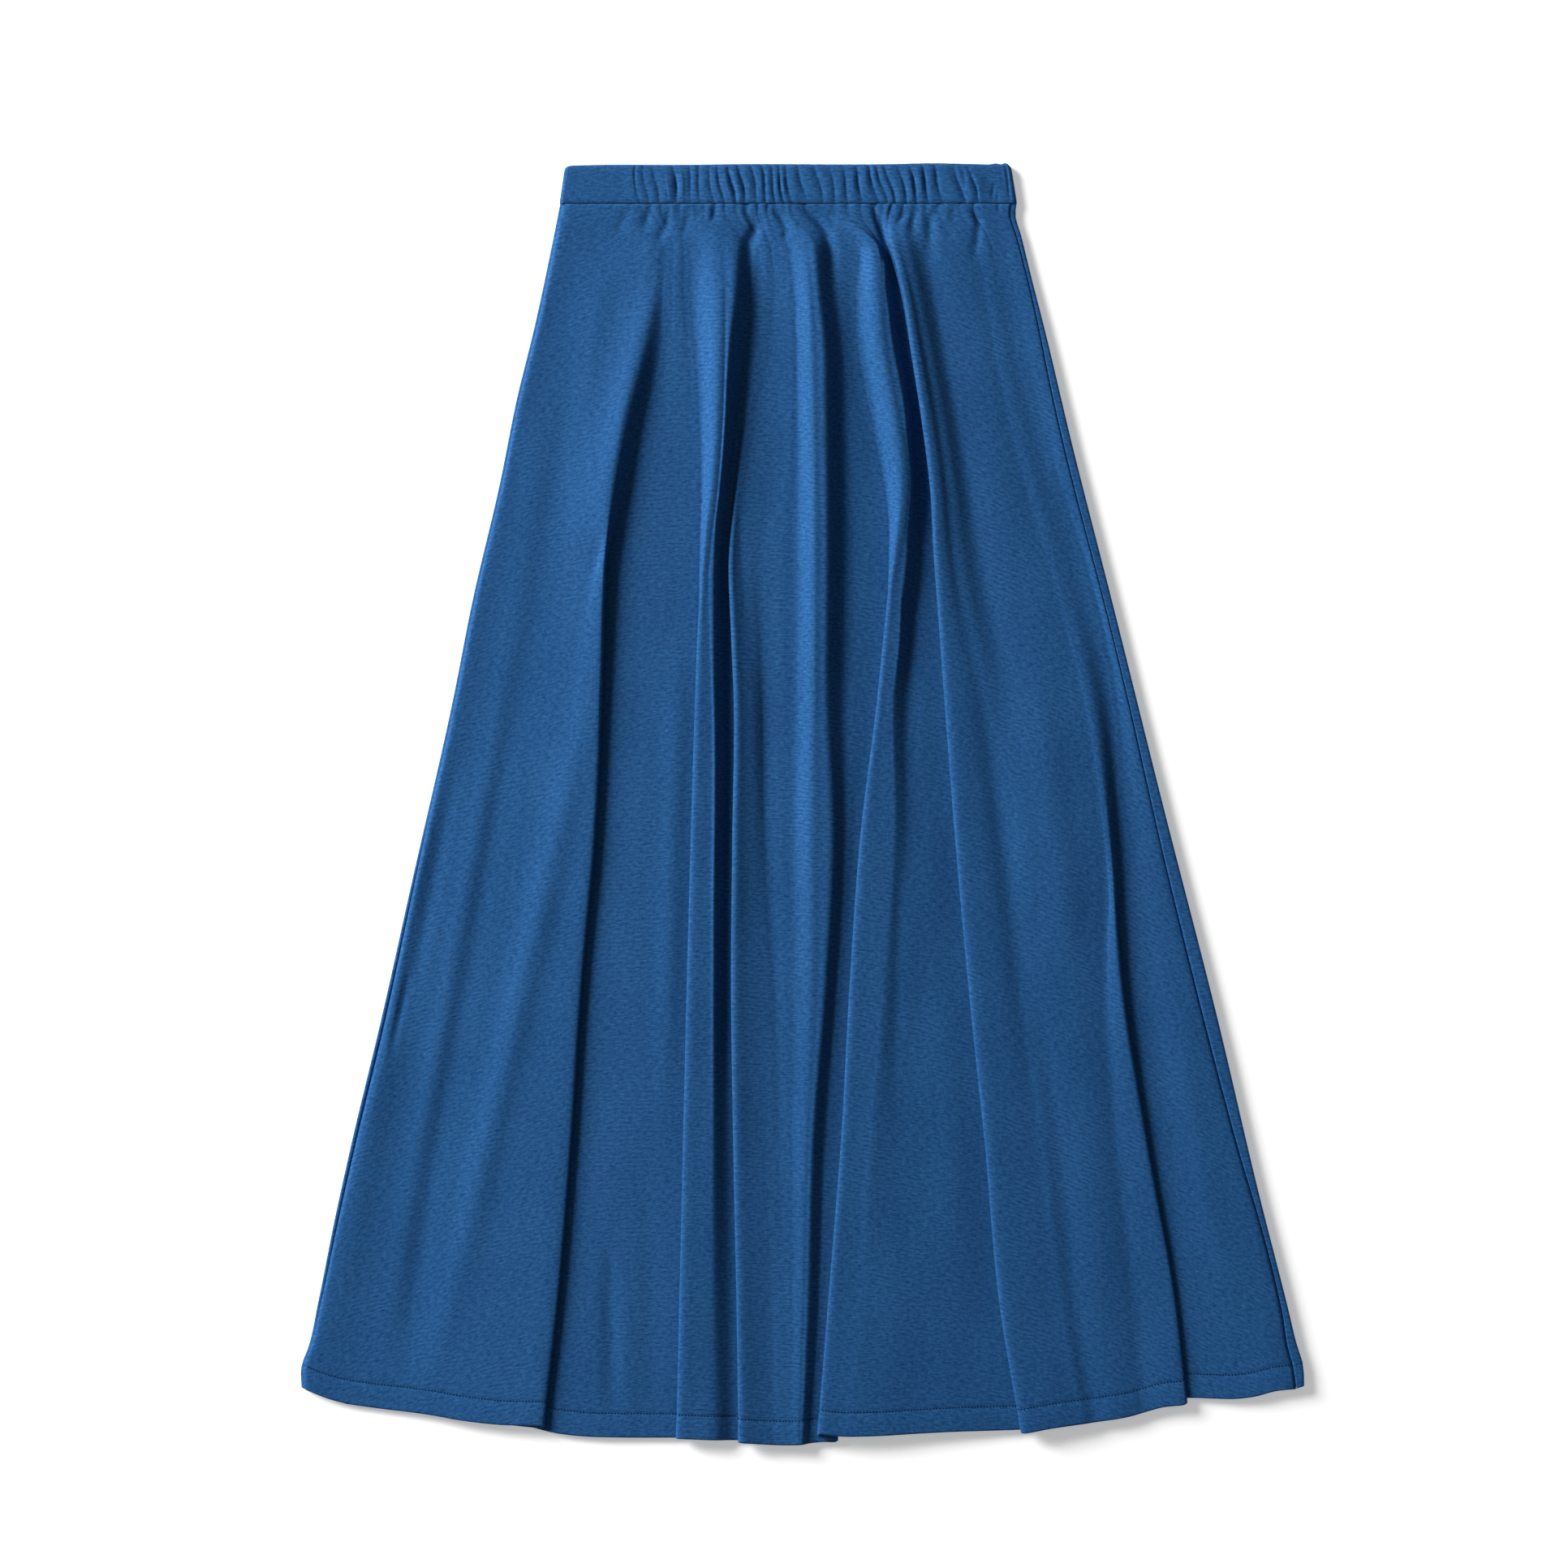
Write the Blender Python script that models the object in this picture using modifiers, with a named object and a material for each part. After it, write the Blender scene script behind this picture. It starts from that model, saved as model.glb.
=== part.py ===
"""A-line skirt laid out on its back: a ruched elastic waistband, a gathered front panel that falls
into six lapped folds, and a plain back panel that comes round the right-hand edge to the side seam.

Every size is in millimetres until a mesh is made. +X is to the right of the skirt as it lies, +Y
runs to the waist and +Z up from the surface it lies on. A drop is a distance below the top edge of
the waistband, and x is measured from the middle of the skirt's width.
"""

import math
from collections import namedtuple

import bmesh
import bpy
import numpy as np

MM = 0.001
PART_NAME = "a_line_skirt"

# Whole skirt
LENGTH = 946.0
WAIST_Y = LENGTH / 2
SEAM_GAP = 0.3
CLOTH_WALL = 1.0
HEM_WALL = 1.6
HEM_DEPTH = 17.5
HEM_STEP = 1.2

# Waistband: cloth over a 25 mm elastic, pressed flat
BAND_DEPTH = 28.0
BAND_WALL = 2.8
BAND_SLIT = 0.4
BAND_CORNER = 3.0
BAND_TOP_LEFT, BAND_TOP_RIGHT = -175.0, 153.6
BAND_FLARE_LEFT, BAND_FLARE_RIGHT = 4.2, 4.6
BAND_SMOOTH_LEFT, BAND_SMOOTH_RIGHT = 6, 3
BAND_END_MARGIN = 3.0
BAND_BACK_STATIONS = 8
BAND_TURN_STATIONS = 4
PLEAT_STATIONS = 4
RUCHE_AT_SEAM = 0.55

# The gathers below the band
GATHER_ZONE = 52.0
GATHER_ROWS = 6
GATHER_ROW_SPREAD = 1.6
GATHER_FULLNESS = 1.15
GATHER_RUN = 1.6
GATHER_FALL = 1.3
GATHER_MARGIN_LEFT, GATHER_MARGIN_RIGHT = 12.0, 16.0
GATHER_EASE = 12.0

# Front panel: how its folds are built
SEAM_HEIGHT = 4.3
SETTLE = 46.0
BODY_ROWS = 15
BODY_ROW_SPREAD = 1.2
ENTRY, EXIT = 6.0, 5.0
ROLL_LEAST = 1.6
ROLL_SHARE = 1 / 6
SOFT_TO_LAPPED = 10.0
LAPPED_FROM = -6.0
COVER_LAPPED = 0.92
LEAVE_SOFT, LEAVE_LAPPED = 0.95, 0.75
SHOULDER_INSET = 1.2
CREST_INSET_LEFT, CREST_INSET_RIGHT = 3.0, 6.0
VALLEY_INSET_LEFT, VALLEY_INSET_RIGHT = 3.0, 2.0
WAVE_END = 2.5

# Side edges
WRAP = 6.0
WRAP_COLUMNS = 7
BACK_COLUMNS = 8
BACK_FLAT_INSET = 4.0
SEAM_CROWN = 0.1

# Colour of the cloth: linear red, green and blue
CLOTH_BLUE = (0.021, 0.099, 0.283, 1.0)
CLOTH_ROUGHNESS = 0.85

Station = namedtuple("Station", "drop edge overlap low rise")
Place = namedtuple("Place", "drop x")
Ridge = namedtuple("Ridge", "drop x height")
Crease = namedtuple("Crease", "x depth run")
Hem = namedtuple("Hem", "x drop")
Wave = namedtuple("Wave", "leaf drop_from x_from drop_to x_to half_width height")
Lap = namedtuple("Lap", "upper_side stations")
Turn = namedtuple("Turn", "run out up")
LeftRoll = namedtuple("LeftRoll", "inset height of_wall of_ledge of_top")
RightRoll = namedtuple("RightRoll", "inset height of_top")
BandPoint = namedtuple("BandPoint", "drop out")

# The turns across a fold, from the lower leaf to the upper one, as shares of the overlap, the roll
# and the rise: for a soft slope, and for cloth that laps over itself
SOFT_SLOPE = (
    Turn(1.0, 0, 0.0), Turn(0.8, 0, 0.1), Turn(0.6, 0, 0.35),
    Turn(0.4, 0, 0.65), Turn(0.2, 0, 0.9), Turn(0.0, 0, 1.0),
)
LAPPED_TURN = (
    Turn(1, -1, 0.0), Turn(1, 0, 1 / 6), Turn(1, -1, 1 / 3),
    Turn(0, 1, 2 / 3), Turn(0, 0, 5 / 6), Turn(0, 1, 1.0),
)
# How far each of a fold's ten points has gone from the lower leaf to the upper one
LEAF_SHARES = (0.0, 0.0, 0.0, 0.2, 0.4, 0.6, 0.8, 1.0, 1.0, 1.0)

# The left-hand edge, from the seam underneath up to the top of the first leaf
LEFT_ROLL = (
    LeftRoll(WRAP, 0.5, 0.5, 0, 0), LeftRoll(1.8, 0.55, 0.5, 0, 0), LeftRoll(0.5, 1.9, 1.0, 0, 0),
    LeftRoll(1.4, 3.1, 0.0, 0, 0), LeftRoll(2.1, 3.4, 0.0, 1, 0), LeftRoll(3.4, 0.0, 0.0, 1, 1),
    LeftRoll(7.2, 0.6, 0.0, 1, 1),
)
# The right-hand edge, where the back panel comes up from the surface to the side seam
RIGHT_ROLL = (RightRoll(1.4, 0.35, 0.0), RightRoll(0.0, 0.0, 0.5), RightRoll(1.2, -0.7, 1.0))
# The waistband's section, round its wall from the stitch line: out is a share of half the wall
BAND_SECTION = (
    BandPoint(28.0, 1), BandPoint(23.0, 1), BandPoint(14.0, 1), BandPoint(5.0, 1),
    BandPoint(1.2, 0.8), BandPoint(0.0, 0), BandPoint(1.2, -0.8), BandPoint(28.0, -1),
)

# The outline, from the waist seam to the hem
LEFT_EDGE = (
    Place(28, -179.2), Place(58, -184.5), Place(118, -196.0), Place(172, -209.5), Place(322, -243.5),
    Place(394, -257.5), Place(528, -288.0), Place(637, -313.0), Place(718, -331.0), Place(841, -357.6),
    Place(876, -365.4), Place(887, -369.8), Place(905, -371.0),
)
RIGHT_EDGE = (
    Place(28, 158.2), Place(34, 157.0), Place(52, 161.2), Place(82, 168.6), Place(118, 178.2),
    Place(202, 198.6), Place(327, 230.4), Place(476, 267.6), Place(631, 307.2), Place(758, 337.2),
    Place(848, 360.0), Place(872, 365.8), Place(887, 370.4), Place(903, 371.4),
)
# The side seam lies this far inside the right-hand edge
SEAM_INSET = (
    Place(28, 4.4), Place(82, 3.2), Place(158, 5.8), Place(394, 6.6), Place(559, 10.2),
    Place(640, 10.4), Place(718, 8.0), Place(790, 4.6), Place(850, 5.4), Place(887, 8.0), Place(903, 6.4),
)
# A second, lower edge shows beside the left-hand roll on the lower half
LEFT_LEDGE = (Place(500, 0.0), Place(590, 3.2), Place(718, 4.2), Place(800, 2.4), Place(870, 0.0))
LEFT_HEIGHT = (Place(28, 4.4), Place(110, 6.4), Place(400, 6.0), Place(720, 5.4), Place(905, 4.6))
SEAM_HEIGHTS = (Place(28, 4.3), Place(110, 5.4), Place(400, 5.2), Place(905, 4.2))

# The six folds, from left to right. Overlap is how far the upper leaf covers the lower one, and a
# negative one is the run of a soft slope; low is the lower leaf's height and rise the step up.
FOLD_1_OVER_2 = Lap(-1, (
    Station(28, -108, -8, 4.4, 0.8), Station(94, -116, -14, 7.0, 4.0), Station(128, -127, -16, 6.4, 6.5),
    Station(173, -139, -14, 5.6, 9.0), Station(211, -144, -9, 5.0, 11.0), Station(259, -145, 2, 4.6, 12.0),
    Station(311, -146, 12, 4.4, 12.5), Station(455, -152, 22, 4.0, 12.0), Station(621, -166, 30, 3.6, 11.0),
    Station(788, -176, 36, 3.3, 10.0), Station(932, -191.5, 40, 3.1, 9.0),
))
FOLD_3_OVER_2 = Lap(1, (
    Station(28, -67, -14, 4.4, 1.5), Station(60, -67, -18, 7.0, 5.0), Station(118, -68, -16, 6.6, 7.5),
    Station(188, -68, -10, 5.6, 9.0), Station(259, -74, -2, 4.8, 9.0), Station(394, -79, 6, 4.2, 8.0),
    Station(580, -84.5, 12, 3.6, 7.5),
    Station(788, -89.5, 18, 3.3, 7.2), Station(941, -93, 22, 3.1, 7.0),
))
FOLD_4_OVER_3 = Lap(1, (
    Station(28, -33, -8, 4.6, 0.8), Station(58, -29, -10, 5.4, 3.0), Station(128, -30, -12, 4.8, 4.0),
    Station(188, -38, -6, 4.4, 6.0), Station(241, -48, 3, 4.2, 8.0), Station(285, -54.5, 8, 4.2, 9.5),
    Station(394, -50, 14, 4.2, 10.0),
    Station(580, -53, 22, 4.0, 9.0), Station(788, -50, 28, 4.0, 7.8), Station(944, -47, 30, 4.0, 7.5),
))
FOLD_5_OVER_4 = Lap(1, (
    Station(28, 30, -12, 4.6, 1.5), Station(60, 42, -22, 6.5, 5.0), Station(118, 49, -20, 7.0, 8.0),
    Station(188, 58.5, -22, 6.6, 10.0), Station(240, 67, -16, 6.0, 10.0), Station(285, 66.5, -8, 5.4, 10.0),
    Station(329, 61, 3, 4.8, 9.5),
    Station(394, 56, 14, 4.6, 9.0), Station(497, 43, 24, 4.3, 8.2), Station(662, 32, 32, 4.1, 7.6),
    Station(823, 20.5, 38, 4.0, 7.5), Station(937, 11.5, 42, 4.0, 7.5),
))
FOLD_6_OVER_5 = Lap(1, (
    Station(28, 50, -8, 4.6, 1.5), Station(83, 71, -3, 5.0, 10.0), Station(153, 84, 4, 4.2, 14.0),
    Station(232, 93, 10, 4.2, 13.5), Station(394, 104, 18, 4.2, 11.0), Station(569, 120, 26, 4.1, 9.0),
    Station(718, 134.5, 32, 4.0, 8.0), Station(850, 147, 36, 4.0, 7.6), Station(937, 162, 40, 4.0, 7.5),
))
FOLD_6_OVER_7 = Lap(-1, (
    Station(28, 128, -10, 4.4, 0.4), Station(200, 160, -14, 5.0, 1.2), Station(394, 204, -18, 4.6, 3.6),
    Station(507, 227, -3, 4.3, 6.6), Station(611, 237, 8, 4.0, 8.0), Station(718, 254, 18, 3.8, 8.5),
    Station(850, 277, 26, 3.6, 8.0), Station(916, 284, 28, 3.5, 7.5),
))

FOLDS = (
    FOLD_1_OVER_2, FOLD_3_OVER_2, FOLD_4_OVER_3, FOLD_5_OVER_4, FOLD_6_OVER_5, FOLD_6_OVER_7,
)

# Ridges and valleys inside the leaves between the folds
LEAF_3_SHOULDER = (
    Ridge(58, -46, 9.5), Ridge(93, -47, 12.5), Ridge(128, -49, 14.0), Ridge(176, -54, 14.0),
    Ridge(240, -60.5, 12.8),
    Ridge(346, -63, 11.5), Ridge(394, -63.5, 10.5), Ridge(480, -64, 8.4), Ridge(580, -64, 7.0),
    Ridge(788, -62, 6.2), Ridge(944, -60, 6.0),
)
LEAF_4_CREST = (
    Ridge(50, 3, 10.0), Ridge(93, 2, 15.0), Ridge(164, 0, 16.5), Ridge(241, 1, 17.0), Ridge(394, 2, 15.5),
    Ridge(540, 2, 12.5),
    Ridge(621, -2, 11.4), Ridge(718, -3, 10.6), Ridge(944, -5, 9.6),
)
LEAF_4_VALLEY = (
    Ridge(44, 12, 6.5), Ridge(93, 20, 6.6), Ridge(140, 23, 6.0), Ridge(200, 26, 5.2), Ridge(285, 25.5, 4.8),
    Ridge(394, 24.5, 4.6), Ridge(497, 27.5, 4.4), Ridge(559, 24.5, 4.4), Ridge(641, 15.5, 4.6),
    Ridge(718, 9, 5.0), Ridge(944, 3, 5.2),
)
SOFT_WAVES = (
    Wave(1, 400, -233, 740, -281, 15, 2.2), Wave(1, 400, -214, 760, -262, 12, -2.2),
    Wave(1, 430, -188, 760, -235, 14, 2.0), Wave(1, 150, -176, 420, -214, 16, 1.8),
    Wave(1, 420, -252, 640, -300, 7, -1.4), Wave(2, 780, -144, 950, -140, 7, -1.6),
    Wave(5, 380, 71, 560, 74, 9, -2.2), Wave(5, 520, 96, 900, 110, 22, 1.2),
    Wave(6, 380, 136, 640, 163, 14, -3.0), Wave(6, 640, 208, 900, 232, 18, 1.6),
    Wave(7, 560, 262, 880, 322, 14, 1.2),
)
LEAF_CROWN = {1: 2.0, 2: 0.6, 5: 0.8, 6: -0.4, 7: 0.8}
LEAF_COLUMNS = {1: 9, 2: 3, 5: 5, 6: 5, 7: 3}

# The hem edge of each leaf
HEMS = {
    1: (Hem(-371, 904), Hem(-346, 911), Hem(-320, 917), Hem(-284, 923), Hem(-238, 930), Hem(-191, 932)),
    2: (Hem(-232, 926), Hem(-204, 932.5), Hem(-191, 936), Hem(-166, 939), Hem(-139, 939), Hem(-93, 941)),
    3: (Hem(-93, 941), Hem(-47, 943)),
    4: (Hem(-47, 944), Hem(-15, 946), Hem(0, 945.6), Hem(14, 944), Hem(40, 941.4), Hem(54, 940.4)),
    5: (Hem(11, 937.5), Hem(25, 939), Hem(54, 939), Hem(88, 937), Hem(160, 935), Hem(202, 932)),
    6: (Hem(162, 937), Hem(186, 933), Hem(217, 929), Hem(242, 925), Hem(267, 918), Hem(284, 916)),
    7: (Hem(256, 914), Hem(284, 911.5), Hem(304, 912), Hem(332, 911), Hem(346, 907), Hem(365, 904.6)),
}
BACK_HEM = (
    Hem(-371, 901), Hem(-347, 914), Hem(-336, 917.2), Hem(-324, 918.6), Hem(-305, 920.8), Hem(-284, 923.4),
    Hem(-238, 928), Hem(-191, 929), Hem(-90, 936), Hem(0, 939), Hem(60, 936), Hem(162, 930),
    Hem(270, 913), Hem(340, 905), Hem(365, 904.6), Hem(372, 902.4),
)

# Creases of the ruched band, each running on below it as a gather
CREASES = (
    Crease(-121, 0.6, 14), Crease(-113, 0.9, 16), Crease(-106, 0.9, 12), Crease(-94, 1.7, 24),
    Crease(-80, 1.2, 18), Crease(-73, 1.0, 14), Crease(-64, 1.1, 16), Crease(-52, 1.4, 14),
    Crease(-44, 1.6, 30), Crease(-35, 1.2, 20), Crease(-26, 1.9, 26), Crease(-18, 1.5, 30),
    Crease(-9, 1.0, 12), Crease(0, 1.3, 18), Crease(11, 1.6, 34), Crease(20, 1.2, 14),
    Crease(29, 1.3, 16), Crease(37, 1.1, 12), Crease(47, 1.5, 30), Crease(59, 1.4, 24),
    Crease(71, 1.5, 20), Crease(80, 1.2, 22), Crease(90, 1.3, 30), Crease(100, 1.1, 26),
    Crease(113, 1.3, 22), Crease(125, 0.9, 36),
)
CREASE_SLANT_LEFT, CREASE_SLANT_RIGHT = 0.24, 0.05


def ease(share):
    """Smooth step from 0 to 1, level at both ends."""
    share = np.clip(share, 0.0, 1.0)
    return share * share * (3.0 - 2.0 * share)


def mix(start, end, share):
    return start + (end - start) * share


def smooth_curve(places, values, at):
    """The smooth curve through a table's values, level beyond its ends."""
    places, values = np.asarray(places, float), np.asarray(values, float)
    slopes = np.gradient(values, places)
    at = np.clip(at, places[0], places[-1])
    i = np.clip(np.searchsorted(places, at) - 1, 0, len(places) - 2)
    span = places[i + 1] - places[i]
    t = (at - places[i]) / span
    rise = values[i] * (1 + 2 * t) * (1 - t) ** 2 + values[i + 1] * t * t * (3 - 2 * t)
    return rise + span * t * (1 - t) * (slopes[i] * (1 - t) - slopes[i + 1] * t)


def read(table, field, at, key="drop"):
    """A column of a table, read smoothly between its rows."""
    return smooth_curve([getattr(row, key) for row in table], [getattr(row, field) for row in table], at)


def lap_points(lap, drop):
    """Ten (leaf, x, z) points across a fold, from left to right along the cloth.

    The lower leaf runs in under the upper one, turns back, and turns again at the edge that shows.
    Where the overlap is negative the same points make a soft slope.
    """
    edge, overlap, low, rise = (read(lap.stations, field, drop) for field in Station._fields[1:])
    lapped = ease((overlap - LAPPED_FROM) / SOFT_TO_LAPPED)
    roll = np.maximum(ROLL_LEAST, rise * ROLL_SHARE)
    turns = []
    for soft, folded in zip(SOFT_SLOPE, LAPPED_TURN):
        offset = mix(overlap * soft.run, overlap * folded.run + roll * folded.out, lapped)
        turns.append((offset, low + rise * mix(soft.up, folded.up, lapped)))
    entry = (np.minimum(overlap, 0) - ENTRY, low)
    leave = (np.maximum(overlap, 0) + EXIT, low + rise * mix(LEAVE_SOFT, LEAVE_LAPPED, lapped))
    hidden = ((entry[0] + turns[0][0]) / 2, low)
    cover = ((turns[-1][0] + leave[0]) / 2, low + rise * mix(1.0, COVER_LAPPED, lapped))
    across = [entry, hidden, *turns, cover, leave]
    if lap.upper_side < 0:
        across.reverse()
    return [
        (share, edge + lap.upper_side * offset, z) for share, (offset, z) in zip(LEAF_SHARES, across)
    ]


def leaf_points(leaf, start, end):
    """Points across an open leaf between two folds."""
    count = LEAF_COLUMNS[leaf]
    shares = [(k + 1) / (count + 1) for k in range(count)]
    return [
        (
            leaf,
            mix(start[1], end[1], share),
            mix(start[2], end[2], ease(share)) + LEAF_CROWN[leaf] * 4 * share * (1 - share),
        )
        for share in shares
    ]


def ridge_point(leaf, table, drop, least, most):
    """A point on a ridge or in a valley, kept between its neighbours."""
    return leaf, np.clip(read(table, "x", drop), least, most), read(table, "height", drop)


def halfway(first, second):
    return first[0], (first[1] + second[1]) / 2, (first[2] + second[2]) / 2


def left_wrap(drop, wall):
    """The front panel comes round the left-hand edge to a seam underneath."""
    edge, ledge = read(LEFT_EDGE, "x", drop), read(LEFT_LEDGE, "x", drop)
    top = read(LEFT_HEIGHT, "x", drop)
    return [
        (
            1,
            edge + roll.inset + ledge * roll.of_ledge,
            roll.height + (wall - CLOTH_WALL) * roll.of_wall + top * roll.of_top,
        )
        for roll in LEFT_ROLL
    ]


def front_across(drop, wall):
    """(leaf, x, z) of every column of the front panel at a drop, from the left edge to the side seam."""
    points = left_wrap(drop, wall)
    folds = {
        leaf: [(leaf + share, x, z) for share, x, z in lap_points(lap, drop)]
        for leaf, lap in enumerate(FOLDS, start=1)
    }
    points += leaf_points(1, points[-1], folds[1][0]) + folds[1]
    points += leaf_points(2, points[-1], folds[2][0]) + folds[2]
    least, most = folds[2][-1][1] + SHOULDER_INSET, folds[3][0][1] - SHOULDER_INSET
    points += [ridge_point(3, LEAF_3_SHOULDER, drop, least, most), *folds[3]]
    start, end = folds[3][-1], folds[4][0]
    least, most = start[1] + CREST_INSET_LEFT, end[1] - CREST_INSET_RIGHT
    crest = ridge_point(4, LEAF_4_CREST, drop, least, most)
    least, most = crest[1] + VALLEY_INSET_LEFT, end[1] - VALLEY_INSET_RIGHT
    valley = ridge_point(4, LEAF_4_VALLEY, drop, least, most)
    points += [halfway(start, crest), crest, halfway(crest, valley), valley, halfway(valley, end)]
    points += folds[4]
    points += leaf_points(5, points[-1], folds[5][0]) + folds[5]
    points += leaf_points(6, points[-1], folds[6][0]) + folds[6]
    seam_x = read(RIGHT_EDGE, "x", drop) - read(SEAM_INSET, "x", drop) - SEAM_GAP / 2
    seam = (7, seam_x, read(SEAM_HEIGHTS, "x", drop))
    points += leaf_points(7, points[-1], seam) + [seam]
    return points


def hem_drop(leaf, x):
    """The hem's drop on a leaf, or between two leaves on the cloth that joins them."""
    lower = math.floor(leaf)
    return mix(
        read(HEMS[lower], "drop", x, "x"), read(HEMS[min(lower + 1, 7)], "drop", x, "x"), leaf - lower
    )


def row_drops(hem):
    """The drops of a column's points: close in the gathers, wider below, and two at the hem's stitches."""
    start = BAND_DEPTH + SEAM_GAP
    gathers = [
        start + GATHER_ZONE * (k / GATHER_ROWS) ** GATHER_ROW_SPREAD for k in range(GATHER_ROWS)
    ]
    stitch = hem - HEM_DEPTH
    shares = np.linspace(0, 1, BODY_ROWS) ** BODY_ROW_SPREAD
    body = mix(start + GATHER_ZONE, stitch - HEM_STEP, shares)
    return np.array([*gathers, *body, stitch, hem])


def soft_lift(leaf, x, drop):
    """How far the soft waves lift the cloth here."""
    lift = np.zeros_like(drop)
    for wave in SOFT_WAVES:
        if wave.leaf != leaf:
            continue
        share = (drop - wave.drop_from) / (wave.drop_to - wave.drop_from)
        across = (x - mix(wave.x_from, wave.x_to, share)) / wave.half_width
        ends = ease(WAVE_END * share) * ease(WAVE_END * (1 - share))
        lift = lift + wave.height * ends * np.exp(-across * across)
    return lift


def crease_phase(x):
    """Which crease x is at: a whole number at a crease and a half between two."""
    places = np.array([crease.x for crease in CREASES], float)
    return np.interp(x, places, np.arange(len(places)), left=-0.5, right=len(places) - 0.5)


def gather_lift(x, drop):
    """The ripple of the gathers below the band, deepest at the seam."""
    phase = crease_phase(x)
    nearest = CREASES[int(np.clip(round(float(phase)), 0, len(CREASES) - 1))]
    inside = ease((x - CREASES[0].x + GATHER_MARGIN_LEFT) / GATHER_EASE)
    inside *= ease((CREASES[-1].x + GATHER_MARGIN_RIGHT - x) / GATHER_EASE)
    ripple = -0.5 * math.cos(2 * math.pi * phase)
    fade = np.exp(-(((drop - BAND_DEPTH) / (GATHER_RUN * nearest.run)) ** GATHER_FALL))
    return GATHER_FULLNESS * nearest.depth * ripple * inside * fade


def front_grid():
    """Points of the front panel's middle surface, as rows of (x, y, z), and each row's wall."""
    nominal_hem = np.array([HEMS[1][-1].drop])
    at_hem = front_across(nominal_hem, HEM_WALL)
    count = len(at_hem)
    walls = np.array([CLOTH_WALL] * (GATHER_ROWS + BODY_ROWS) + [HEM_WALL] * 2)
    columns = []
    for j, (leaf, x, _) in enumerate(at_hem):
        drop = row_drops(float(hem_drop(leaf, x[0])))
        across = front_across(drop, walls)
        _, x, z = across[j]
        open_leaf = float(leaf).is_integer()
        z = z + (soft_lift(leaf, x, drop) if open_leaf else 0.0)
        if j >= WRAP_COLUMNS - 1:
            share = (j - WRAP_COLUMNS + 1) / (count - WRAP_COLUMNS)
            even = mix(across[WRAP_COLUMNS - 1][1], across[-1][1], share)
            settled = ease((drop - BAND_DEPTH) / SETTLE)
            x, z = mix(even, x, settled), mix(SEAM_HEIGHT, z, settled)
        columns.append(np.stack([x, WAIST_Y - drop, z], axis=1))
    return np.stack(columns, axis=1), walls


def doubled(row):
    """A row with a point added on the smooth curve between each two."""
    padded = np.vstack([2 * row[0] - row[1], row, 2 * row[-1] - row[-2]])
    middle = (9 * (padded[1:-2] + padded[2:-1]) - padded[:-3] - padded[3:]) / 16
    out = np.empty((2 * len(row) - 1, 3))
    out[0::2], out[1::2] = row, middle
    return out


def add_object(name, collection, mesh_tool, finish):
    """Turns a bmesh in millimetres into a named object in metres."""
    bmesh.ops.scale(mesh_tool, vec=(MM, MM, MM), verts=mesh_tool.verts)
    mesh = bpy.data.meshes.new(name)
    mesh_tool.to_mesh(mesh)
    mesh_tool.free()
    made = bpy.data.objects.new(name, mesh)
    made.data.materials.append(finish)
    collection.objects.link(made)
    made.data.shade_smooth()
    return made


def thicken(made, thickness, offset, weights):
    """Gives a cloth surface its wall, thicker where its hem is folded over."""
    group = made.vertex_groups.new(name="wall")
    for index, weight in enumerate(weights):
        group.add([index], weight, "REPLACE")
    solidify = made.modifiers.new("cloth_wall", "SOLIDIFY")
    solidify.thickness = thickness * MM
    solidify.offset = offset
    solidify.vertex_group = "wall"
    solidify.thickness_vertex_group = 0.0


def build_front_panel(collection, finish):
    grid, walls = front_grid()
    tool = bmesh.new()
    rows, weights = [], []
    for r, row in enumerate(grid):
        if r < GATHER_ROWS:
            row = doubled(row)
            seam_x = doubled(grid[0])[:, 0]
            for k in range(2 * WRAP_COLUMNS, len(row)):
                row[k, 2] += gather_lift(seam_x[k], WAIST_Y - row[k, 1])
        rows.append([tool.verts.new(point) for point in row])
        weights += [walls[r] / HEM_WALL] * len(row)
    for upper, lower in zip(rows, rows[1:]):
        step = (len(upper) - 1) // (len(lower) - 1)
        for k in range(len(lower) - 1):
            along = [upper[step * k + m] for m in range(step + 1)]
            tool.faces.new([lower[k], lower[k + 1], *reversed(along)])
    made = add_object("front_panel", collection, tool, finish)
    thicken(made, HEM_WALL, 0.0, weights)
    return made


def back_across(drop):
    """(x, z) across the back panel's outer face: flat below, then round the right edge to the seam."""
    left = read(LEFT_EDGE, "x", drop) + WRAP + SEAM_GAP
    right = read(RIGHT_EDGE, "x", drop)
    seam = right - read(SEAM_INSET, "x", drop) + SEAM_GAP / 2
    top = read(SEAM_HEIGHTS, "x", drop) + CLOTH_WALL / 2
    shares = [k / (BACK_COLUMNS - 1) for k in range(BACK_COLUMNS)]
    flat = [(mix(left, right - BACK_FLAT_INSET, share), 0 * drop) for share in shares]
    rolls = [(right - roll.inset, roll.height + roll.of_top * top) for roll in RIGHT_ROLL]
    return [*flat, *rolls, ((rolls[-1][0] + seam) / 2, top - SEAM_CROWN), (seam, top)]


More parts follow.
